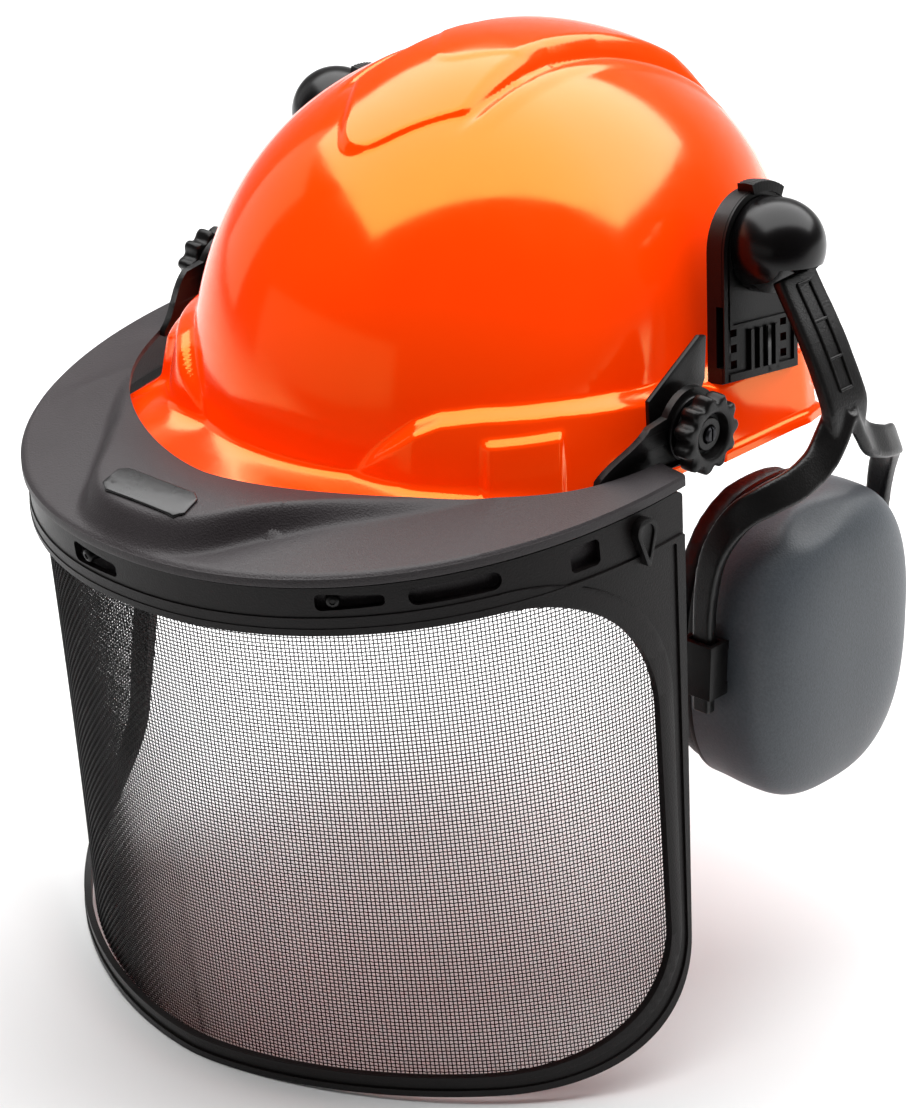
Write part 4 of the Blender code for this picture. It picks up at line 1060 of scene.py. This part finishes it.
def build_pivots():
    axes = (PIVOT, EY, EZ, EX)
    # Radius, height and share of the wave.
    profile = [(3.4, 4.9, 0), (12.6, 4.9, 0.6), (13.6, 5.3, 0.9), (14.1, 6.2, 1), (14.2, 8.0, 1),
               (14.2, 10.6, 1),
               (14.0, 11.7, 1), (13.3, 12.5, 0.9), (12.4, 12.8, 0.6), (10.6, 12.9, 0.15), (9.4, 12.8, 0),
               (8.8, 12.4, 0), (8.6, 11.6, 0), (8.4, 9.0, 0), (8.0, 8.5, 0), (6.6, 8.4, 0), (6.4, 8.6, 0),
               (6.3, 10.2, 0), (6.0, 10.5, 0), (3.8, 10.5, 0), (3.4, 10.1, 0), (3.4, 4.9, 0)]
    knob = lobed("pivot_knob", 14.2, 11, 1.25, profile, axes)
    place_pair(knob, "pivot_knob", "knob", BLACK, ["pivot_knob"], 40)
    pin = [(0, -10.8), (5.4, -10.8), (6.0, -10.2), (6.0, -8.2), (3.0, -8.2), (3.0, 11.2),
           (2.3, 12.0), (0, 12.0)]
    bolt = lathe("pivot_bolt", pin, 40, axes)
    slot = block("bolt_slot", (-0.5, -6.0, 11.0), (0.5, 6.0, 14.0), axes, TOOLS)
    boolean(bolt, slot, "DIFFERENCE")
    bake(soften(bolt, 0.25, 40, 2))
    place_pair(bolt, "pivot_bolt", "helmet", STEEL, ["pivot_bolt"], 40)
    disc = [(3.4, 2.7), (9.9, 2.7), (10.5, 3.1), (10.5, 4.1), (9.9, 4.5), (3.4, 4.5), (3.4, 2.7)]
    washer = lathe("pivot_washer", disc, 72, axes)
    place_pair(washer, "pivot_washer", "helmet", BLACK, ["pivot_washer"], 40)
    outline = [(17.5, 29.0), (13.5, 30.0), (-15.0, 12.6), (-13.5, -4.0), (-6.0, -12.0), (8.0, -11.0),
               (14.0, 4.0), (16.0, 9.0), (17.5, 12.0)]
    hole = circle(3.3, 32)
    blade = slab("visor_carrier", outline, -7.9, -5.9, axes, [hole])
    bake(soften(blade, 0.35, 50, 2))
    place_pair(blade, "visor_carrier", "helmet", BLACK, ["visor_carrier"], 40)


build_latches()
build_pivots()


# %% [markdown]
# ## Adapters, swivel domes, arms and yokes
# These carry each ear muff on the shell: the adapter plugs in, the dome swivels on it, and the
# arm holds the cup between two sliding yokes. Their shapes are mostly flat plates with ribs,
# so they are built from plates and blocks joined by Booleans, which keeps the sizes exact.
# The adapter is an arched moulding with a double rim, a ladder block and a ribbed thumb tab.
# The arm is one body: stem and two limbs joined and then remeshed, so that the joints flow.

# %% Muff supports
def arch(half, low, top_at, count=33):
    """Outline with straight sides and a round top."""
    turn = np.linspace(0.0, math.pi, count)
    return [(-half, low), (half, low)] + [(half * math.cos(t), top_at + half * math.sin(t)) for t in turn]


def build_adapters():
    top = HOUSING_AT - 1.5
    body = slab("muff_adapter", arch(ADAPTER_HALF, 0.0, top), -6.0, 1.0, ADAPTER)
    rim = slab("rim", arch(ADAPTER_HALF - 0.2, 0.4, top), 0.5, 2.0, ADAPTER,
               [arch(ADAPTER_HALF - 2.4, 3.0, top)], TOOLS)
    second = slab("second_rim", arch(ADAPTER_HALF - 3.6, 20.0, top), -2.0, 2.0, ADAPTER,
                  [arch(ADAPTER_HALF - 5.4, 21.5, top)], TOOLS)
    boolean(body, rim, "UNION")
    boolean(body, second, "UNION")
    boolean(body, block("tongue", (-14.0, -15.5, -5.2), (14.0, 2.0, -2.0), ADAPTER, TOOLS), "UNION")
    boolean(body, block("floor", (-19.0, 0.6, 0.4), (19.0, 3.4, 2.4), ADAPTER, TOOLS), "UNION")
    for back in (-6.5, -1.5, 3.5, 8.0):
        boolean(body, block("rib", (back, 1.0, 0.0), (back + 1.8, 18.5, 2.4), ADAPTER, TOOLS), "UNION")
    for up in (5.0, 11.0, 17.0):
        for back in (-17.0, 12.5):
            window = block("window", (back, up, -9.0), (back + 3.6, up + 3.0, 6.0), ADAPTER, TOOLS)
            boolean(body, window, "DIFFERENCE")
    boolean(body, block("entry", (-23.5, 6.0, -1.7), (-17.5, 29.0, 1.5), ADAPTER, TOOLS), "DIFFERENCE")
    bake(soften(body, 0.35, 40, 2))
    place_pair(body, "muff_adapter", "helmet", BLACK, ["muff_adapter"], 40)
    # Thumb tab: a curved pad with fine ribs over the top of the arch.
    turn = np.radians(np.linspace(104.0, 58.0, 45))
    loops = []
    for k, t in enumerate(turn):
        crown = 24.6 + 0.35 * (k % 4 < 2)
        section = [(21.0, -4.4), (crown, -4.0), (crown + 0.3, 0.0), (crown, 3.0), (21.0, 3.4)]
        loops.append([adapter(r * math.cos(t), top + r * math.sin(t), out) for r, out in section])
    tab = surface("adapter_tab", np.array(loops), wrap_v=True, caps=True)
    place_pair(tab, "adapter_tab", "helmet", BLACK, (), 30)


def build_domes():
    axes = (adapter(0.0, HOUSING_AT, 0.0), BACK, UP, OUT)
    turn = np.linspace(0.0, math.pi / 2, 26)
    profile = [(0, 0.9), (16.9, 0.9), (17.5, 1.3), (18.0, 2.4), (18.0, 9.0)]
    profile += [(18.0 * math.cos(t) ** 0.9 if t < 1.57 else 0.0, 9.6 + 18.2 * math.sin(t)) for t in turn]
    dome = lathe("pivot_dome", profile, 128, axes)
    mouth = block("mouth", (-12.8, -40.0, 8.4), (12.8, -6.6, 40.0), axes, TOOLS)
    boolean(dome, mouth, "DIFFERENCE")
    bake(soften(dome, 0.5, 50, 3))
    place_pair(dome, "pivot_dome", "swivel", GLOSSY, ["pivot_dome"], 45)


def build_arms():
    middle = CUP[1]
    top = adapter(0.0, HOUSING_AT - 10.5, 16.0)
    top[1] = middle - 2.6
    stem = [top, (121.0, middle - 2.4, 62.5), (130.8, middle - 1.6, 46.4), (137.4, middle - 0.8, 33.0),
            (142.0, middle, 21.0), (142.9, middle, 10.5)]
    path = curve_through(stem, 60)
    width = np.interp(np.linspace(0, 5, 60), range(6), [21.4, 21.6, 22.4, 22.6, 23.0, 19.0])
    depth = np.interp(np.linspace(0, 5, 60), range(6), [5.6, 5.6, 5.6, 5.8, 6.2, 5.8])
    arm = sweep("muff_arm", path, width, depth, EY, 0.9)
    limb = np.array([(142.6, -2.5, 20.0), (142.7, -8.0, 11.0), (142.4, -15.0, 3.0), (141.5, -27.0, -2.2),
                     (137.5, -38.0, -6.0), (130.0, -46.0, -13.0), (123.5, -51.0, -27.0),
                     (121.0, -52.8, -45.0), (121.0, -52.8, -70.0), (121.6, -52.8, -92.6)])
    for side in (1.0, -1.0):
        bar_path = curve_through(limb * np.array([1.0, side, 1.0]) + np.array([0.0, middle, 0.0]), 90)
        run = np.linspace(0, 9, 90)
        bar_width = np.interp(run, range(10), [12.5, 13.2, 13.0, 12.6, 12.2, 11.6, 10.6, 9.2, 7.9, 7.9])
        facing = np.array([0.45, 0.0, -0.90]) * (1 - smooth(run, 4.5, 6.5))[:, None] \
            + np.array([0.95, 0.0, 0.0]) * smooth(run, 4.5, 6.5)[:, None]
        bar = sweep("limb", bar_path, bar_width, 5.0, facing, 0.8, where=TOOLS)
        boolean(arm, bar, "UNION")
    remesh = arm.modifiers.new("blend", "REMESH")
    remesh.mode = "VOXEL"
    remesh.voxel_size = 0.75 * MM
    flow = arm.modifiers.new("flow", "SMOOTH")
    flow.factor, flow.iterations = 0.5, 5
    bake(arm)
    place_pair(arm, "muff_arm", "arm", GRAINED, ["muff_arm"], 179)
    # Raised ladder-like outline along the outer face of the stem.
    centre = curve_through(stem, 120)[20:84]
    ahead = unit(np.gradient(centre, axis=0))
    out = np.cross(EY, ahead)
    out *= np.sign(out[:, :1])
    face = centre + out * 3.05
    for name, line in (("front", -3.6), ("rear", 3.6)):
        rail = sweep("arm_rail_" + name, face + EY * line, 1.2, 1.0, EY, 0.3, 8)
        place_pair(rail, "arm_rail_" + name, "arm", BLACK, (), 60)
    for index, k in enumerate((0, 21, 42, 63)):
        at = face[k]
        rung = np.linspace(at - EY * 3.6, at + EY * 3.6, 5)
        bar = sweep(f"arm_rung_{index}", rung, 1.2, 1.0, ahead[k], 0.3, 8)
        place_pair(bar, f"arm_rung_{index}", "arm", BLACK, (), 60)


def build_yokes():
    for stem, side in (("yoke_block_front", -1.0), ("yoke_block_rear", 1.0)):
        centre = np.array([121.0, CUP[1] + side * 52.8, CUP[2] + 4.0])
        axes = (centre, EX, EZ, -EY * side)
        body = block(stem, (-7.4, -11.0, -5.4), (7.4, 11.0, 5.4), axes)
        boolean(body, block("channel", (-5.2, -30.0, -3.1), (5.2, 30.0, 3.1), axes, TOOLS), "DIFFERENCE")
        boolean(body, block("relief", (-9.0, -6.0, 4.9), (9.0, 7.0, 8.0), axes, TOOLS), "DIFFERENCE")
        bake(soften(body, 0.8, 40, 3))
        place_pair(body, stem, "yoke", BLACK, [stem], 40)
        pin = lathe(stem + "_pin", [(0, 0.0), (3.0, 0.0), (3.0, 2.6), (2.6, 3.2), (1.5, 3.4), (0, 3.4)], 32,
                    (centre - EX * 6.9 + EZ * 3.0, EY, EZ, -EX))
        place_pair(pin, stem + "_pin", "yoke", BLACK, (), 40)


build_adapters()
build_domes()
build_arms()
build_yokes()


# %% [markdown]
# ## Ear cups
# A rounded box: superellipse outline in the side view, with soft facets pressed into its
# outer face. The facets could be bevels on a box, but pressing planes into a round form keeps
# the soft creases that a moulded cup has. The seal cushion is a padded ring blown up by a
# short cloth simulation, limited in travel so that it stays clear of the backplate.

# %% Ear cups
def press(points, normal, level, strength=0.75, edge=5.0):
    """Presses what stands beyond a plane back towards it, with a soft crease."""
    normal = np.asarray(normal, float)
    normal /= np.linalg.norm(normal)
    over = points @ normal - level
    back = strength * over * smooth(over, 0.0, edge)
    return points - np.maximum(back, 0.0)[..., None] * normal


def build_cups():
    half = CUP_SIZE[0] / 2
    turn = ring(160)
    y, z = superellipse(turn, CUP_SIZE[1] / 2, CUP_SIZE[2] / 2, 2.65)
    flare = 0.985 + 0.015 * smooth(np.linspace(0, 1, 15), 0, 1)
    side = np.stack([np.linspace(-half, -4.0, 16)[:-1], flare], -1)
    t = np.linspace(0.0, math.pi / 2, 54)
    xs = -4.0 + 25.4 * np.sin(t) ** (2 / 3.3)
    rs = np.maximum(np.cos(t), 0.0) ** (2 / 3.0)
    profile = np.concatenate([side, np.stack([xs, rs], -1)])
    loops = [np.stack([np.full_like(y, x), y * r, z * r], -1) for x, r in profile]
    table = np.stack(loops, 1)
    table = press(table, (0.62, -0.78, 0.05), 40.5)
    table = press(table, (0.62, 0.78, 0.05), 41.5)
    table = press(table, (0.62, -0.18, 0.76), 48.5)
    table = press(table, (0.60, 0.0, -0.80), 52.0)
    outer = table + CUP
    inner = (table[:, ::4] * np.array([1.0, 0.945, 0.955]) + np.array([-1.6, 0, 0]))
    inner[:, 0, 0] = -half
    inner = inner + CUP
    shell = surface("cup_shell", np.concatenate([inner[:, ::-1], outer], 1), wrap_u=True)
    place_pair(shell, "cup_shell", "cup", SLATE, ["cup_shell"], 50)
    dimple = lathe("cup_dimple", [(0, -0.2), (1.3, -0.2), (1.3, 0.25), (1.0, 0.35), (0.7, 0.1), (0, 0.1)], 24,
                   (CUP + np.array([18.6, 10.0, -33.0]), EY, EZ, EX))
    place_pair(dimple, "cup_dimple", "cup", BLACK, (), 40)
    back = CUP - EX * (half + 1.3)
    hole = [(0.52 * a, 0.56 * b) for a, b in zip(*superellipse(ring(72), 46.0, 60.0, 2.3))]
    rim = list(zip(*superellipse(ring(120), 46.3, 60.3, 2.6)))
    plate = slab("cup_backplate", rim, -1.0, 1.0, (back, EY, EZ, EX), [hole])
    bake(soften(plate, 0.4, 50, 2))
    place_pair(plate, "cup_backplate", "cup", BLACK, ["cup_backplate"], 40)


def puff(obj, voxel, cap, pressure=4.0):
    """Cloth simulation of a stuffed piece: remesh, blow up for 20 frames, limit the travel, apply."""
    remesh = obj.modifiers.new("even", "REMESH")
    remesh.mode = "VOXEL"
    remesh.voxel_size = voxel * MM
    bake(obj)
    before = points_of(obj)
    cloth = obj.modifiers.new("cloth", "CLOTH")
    cloth.settings.use_pressure = True
    cloth.settings.uniform_pressure_force = pressure
    cloth.settings.effector_weights.gravity = 0.0
    cloth.settings.quality = 5
    cloth.point_cache.frame_start, cloth.point_cache.frame_end = 1, 20
    for step in range(1, 21):
        SCENE.frame_set(step)
    bake(obj)
    SCENE.frame_set(1)
    moved = points_of(obj) - before
    far = np.linalg.norm(moved, axis=1)
    keep = np.minimum(1.0, cap / np.maximum(far, 1e-9))
    set_points(obj, before + moved * keep[:, None])
    rounder = obj.modifiers.new("rounder", "SUBSURF")
    rounder.levels = rounder.render_levels = 1
    bake(obj)
    print(f"{obj.name}: swelled by up to {min(far.max(), cap):.1f} mm, {len(obj.data.vertices)} points")
    return obj


def ring_pad(name, centre_x, size_y, size_z, half_y, depth, columns=96, around=24):
    """A seal ring of oval section round the ear."""
    y, z = superellipse(ring(columns), size_y, size_z, 2.4)
    length = np.hypot(y, z)
    loops = []
    for a in ring(around):
        c, s = superellipse(a, half_y, depth, 2.5)
        loops.append(np.stack([np.full_like(y, centre_x + s), CUP[1] + y * (1 + c / length),
                               CUP[2] + z * (1 + c / length)], -1))
    return surface(name, np.stack(loops, 1), wrap_u=True, wrap_v=True)


def build_cushions():
    face = CUP[0] - CUP_SIZE[0] / 2 - 2.6
    cushion = ring_pad("cup_cushion", face - 6.6, 38.6, 52.2, 7.4, 5.5)
    puff(cushion, 3.6, 0.9, 60.0)
    left, right = place_pair(cushion, "cup_cushion", "cup", VINYL, ["cup_cushion"], 179)
    liner = surface("cup_liner", [[CUP + np.array([x, y * s, z * s]) for x, s in
                                   ((-19.4, 0.0), (-19.9, 0.5), (-20.2, 0.84), (-17.0, 0.885), (-10.0, 0.885),
                                    (0.0, 0.875), (9.0, 0.79), (13.6, 0.56), (15.8, 0.28), (16.2, 0.0))]
                                  for y, z in zip(*superellipse(ring(72), 46.4, 60.4, 2.6))], wrap_u=True)
    puff(liner, 4.0, 0.6)
    linings = place_pair(liner, "cup_liner", "cup", FOAM, ["cup_foam"], 179)


build_cups()
build_cushions()


# %% [markdown]
# ## Inner harness
# The harness holds the shell off the head. Little of it shows, so the bands and keys keep
# their CAD shapes with softened edges. The straps become woven webbing swept along a curve,
# and the pads are closed forms rounded at their borders. None of them is simulated: they
# are held flat against their bands, where a simulation would move them by very little.

# %% Harness
def carry(node, material, width=0.5):
    """Keeps a CAD node, with a new material and softened edges."""
    obj = NODES[node]
    for index in range(len(obj.material_slots)):
        obj.material_slots[index].material = material
    soften(obj, width, 50, 2)


def band_table(start, end, count, a, b, centre, low, high, power=2.2):
    angle = np.radians(np.linspace(start, end, count))
    x, y = superellipse(angle, a, b, power)
    levels = np.linspace(0.0, 1.0, 9)
    return np.stack([np.stack([x, y + centre, low + (high - low) * k + 0 * x], -1) for k in levels], 1)


def key_frame(degrees):
    angle = math.radians(degrees)
    x, y = superellipse(np.array([angle]), 80.0, 99.0, 2.2)
    there = np.array([x[0], y[0] + 2.0, 0.0])
    x2, y2 = superellipse(np.array([angle + 0.01]), 80.0, 99.0, 2.2)
    along = np.array([x2[0], y2[0] + 2.0, 0.0]) - there
    along /= np.linalg.norm(along)
    return there, along, np.cross(along, EZ)


def pad_solid(name, table, half):
    """A closed pad of constant thickness round a table of middle points, rounded at its border."""
    du = np.gradient(table, axis=0)
    dv = np.gradient(table, axis=1)
    normal = np.cross(du, dv)
    normal /= np.linalg.norm(normal, axis=-1)[..., None]
    rows, columns = table.shape[:2]
    i, j = np.meshgrid(np.linspace(-1, 1, rows), np.linspace(-1, 1, columns), indexing="ij")
    full = np.sqrt(np.clip(1.0 - i ** 8, 0.0, 1.0) * np.clip(1.0 - j ** 4, 0.0, 1.0))[..., None]
    front, back = table + normal * half * full, table - normal * half * full
    points = np.concatenate([front.reshape(-1, 3), back.reshape(-1, 3)])
    face = quads(rows, columns, False, False)
    cells = np.concatenate([face, face[:, ::-1] + rows * columns])
    obj = raw_mesh(name, points, cells)
    return outward(obj)


def build_pads():
    brow = pad_solid("brow_sweatband", band_table(-157, -23, 120, 76.7, 95.7, 2.0, -6.6, 27.6), 1.9)
    place(brow, "helmet", PADDING, ["brow_pad"], 179)
    nape = pad_solid("nape_cushion", band_table(66.5, 113.5, 60, 80.6, 99.6, 2.0, -40.6, -15.4), 2.4)
    place(nape, "nape", PADDING, ["nape_pad"], 179)
    turn = math.radians(45)
    px, py = superellipse(ring(96), 26.6, 26.6, 4.0)
    loops = []
    for share, height in ((0.0, 87.8), (0.5, 87.7), (0.86, 87.8), (0.97, 88.4), (1.0, 89.5), (0.97, 90.6),
                          (0.86, 91.2), (0.5, 91.3), (0.0, 91.3)):
        c, s = px * share, py * share
        loops.append(np.stack([c * math.cos(turn) - s * math.sin(turn),
                               c * math.sin(turn) + s * math.cos(turn) + 2.0, np.full_like(c, height)], -1))
    crown = surface("crown_cushion", np.stack(loops, 1), wrap_u=True)
    place(crown, "helmet", PADDING, ["crown_pad"], 60)


def strap_path(start, end, crown, count):
    t = np.linspace(0.0, math.pi, count)
    a, b = np.array(start), np.array(end)
    path = (a + b) / 2 + np.cos(t)[:, None] * (a - b) / 2
    path[:, 2] = a[2] + (crown - a[2]) * np.sin(t) ** 0.85
    return path


def build_straps():
    straps = (("crown_strap_a", (-42.0, 138.0), 97.0), ("crown_strap_b", (-138.0, 42.0), 99.0))
    for name, ends, crown in straps:
        points, tangents = [], []
        for degrees in ends:
            origin, along, out = key_frame(degrees)
            points.append(origin + EZ * 34.7 + out * 0.2)
            tangents.append(along)
        count = 121
        path = strap_path(points[0], points[1], crown, count)
        run = points[0] - points[1]
        side = np.cross(run / np.linalg.norm(run), EZ)
        across = np.tile(side, (count, 1))
        turn = smooth(path[:, 2], 50.0, 84.0)[:, None]
        for half, tangent in ((slice(0, 60), tangents[0]), (slice(61, count), tangents[1])):
            level = tangent * np.sign(tangent @ side)
            across[half] = level + (side - level) * turn[half]
        deep = unit(np.cross(unit(np.gradient(path, axis=0)), across))
        section = [(-9.4, -0.3), (-9.1, -0.5), (-3.0, -0.5), (3.0, -0.5), (9.1, -0.5), (9.4, -0.3),
                   (9.4, 0.3), (9.1, 0.5), (3.0, 0.5), (-3.0, 0.5), (-9.1, 0.5), (-9.4, 0.3)]
        table = np.stack([path + w * across + d * deep for w, d in section], 1)
        strap = surface(name + "_webbing", table, wrap_v=True, caps=True)
        # Surface coordinates in mm: along the strap and across it.
        length = run_length(path)
        print(f"{name}: {length[-1]:.1f} mm long")
        where = points_of(strap)
        near = np.argmin(np.linalg.norm(where[:, None, :] - path[None], axis=2), axis=1)
        wide = np.sum((where - path[near]) * across[near], axis=1)
        layer = strap.data.uv_layers.new(name="UVMap")
        corners = np.empty(len(strap.data.loops), int)
        strap.data.loops.foreach_get("vertex_index", corners)
        layer.data.foreach_set("uv", np.stack([length[near][corners], wide[corners]], -1).ravel())
        place(strap, "helmet", WEBBING, [name], 60)


build_pads()
build_straps()
carry("headband", HARNESS, 0.4)
carry("nape_band", HARNESS, 0.4)
for key in ("hanger_front_left", "hanger_front_right", "hanger_rear_left", "hanger_rear_right"):
    carry(key, HARNESS, 0.4)
carry("ratchet_housing", HARNESS, 0.3)
carry("ratchet_knob", BLACK, 0.4)
carry("ratchet_pinion", BLACK, 0.2)


# %% [markdown]
# ## Floor
# A pale sweep such as a studio hangs behind a product: flat under the hat, rising smoothly behind it, so that
# no edge shows. Towards the camera it is painted dark grey, a painted shade that keeps bounce light off the
# black parts. It is staging and not a part of the hat.

# %% Floor
def build_floor():
    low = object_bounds()[0][2] / MM
    away = np.array([-math.sin(math.radians(41.2)), math.cos(math.radians(41.2)), 0.0])
    side = np.array([away[1], -away[0], 0.0])
    bend_by = np.linspace(0.1, math.pi / 2, 16)
    run = np.concatenate([np.linspace(-6000, 2500, 8), 2500 + 1500 * np.sin(bend_by), np.full(4, 4000.0)])
    rise = np.concatenate([np.zeros(8), 1500 * (1 - np.cos(bend_by)), np.linspace(1900, 5000, 4)])
    table = np.stack([[r * away + s * side + EZ * (h + low - 0.2) for s in (-6000, 0, 6000)]
                      for r, h in zip(run, rise)], 0)
    floor = raw_mesh("studio_floor", np.array(table).reshape(-1, 3), quads(len(run), 3, False, False))
    material, tree, shader = new_material("pale_floor", Roughness=0.7)
    here = add(tree, "TexCoord").outputs["Object"]
    split = add(tree, "SeparateXYZ", {0: here})
    # Painted shade: towards the camera the floor turns dark grey, so that less light bounces onto the black
    # parts and the visor reflects dark.
    across = add(tree, "Math", {0: split.outputs["X"], 1: -0.658}, operation="MULTIPLY").outputs[0]
    deep = add(tree, "Math", {0: split.outputs["Y"], 1: 0.753, 2: across}, operation="MULTIPLY_ADD")
    cloudy = add(tree, "Math", {0: noise(tree, here, 1.5, 3.0), 1: 0.03, 2: deep.outputs[0]},
                 operation="MULTIPLY_ADD")
    back = add(tree, "MapRange", {"Value": cloudy.outputs[0], "From Min": -0.85,
                                  "From Max": -0.42}).outputs["Result"]
    painted_shade_tone = ramp(tree, back, (0.0, linear("#4A4A4B")), (1.0, linear("#E2E2E2")))
    tree.links.new(painted_shade_tone, shader.inputs["Base Color"])
    floor.data.materials.append(material)
    shade(floor, 179)


build_floor()

# %% [markdown]
# ## Finish
# Each finished piece is printed with its number of faces.

# %% Finish
for made, count in MADE:
    print(f"{made:28s} {count:7d} faces")
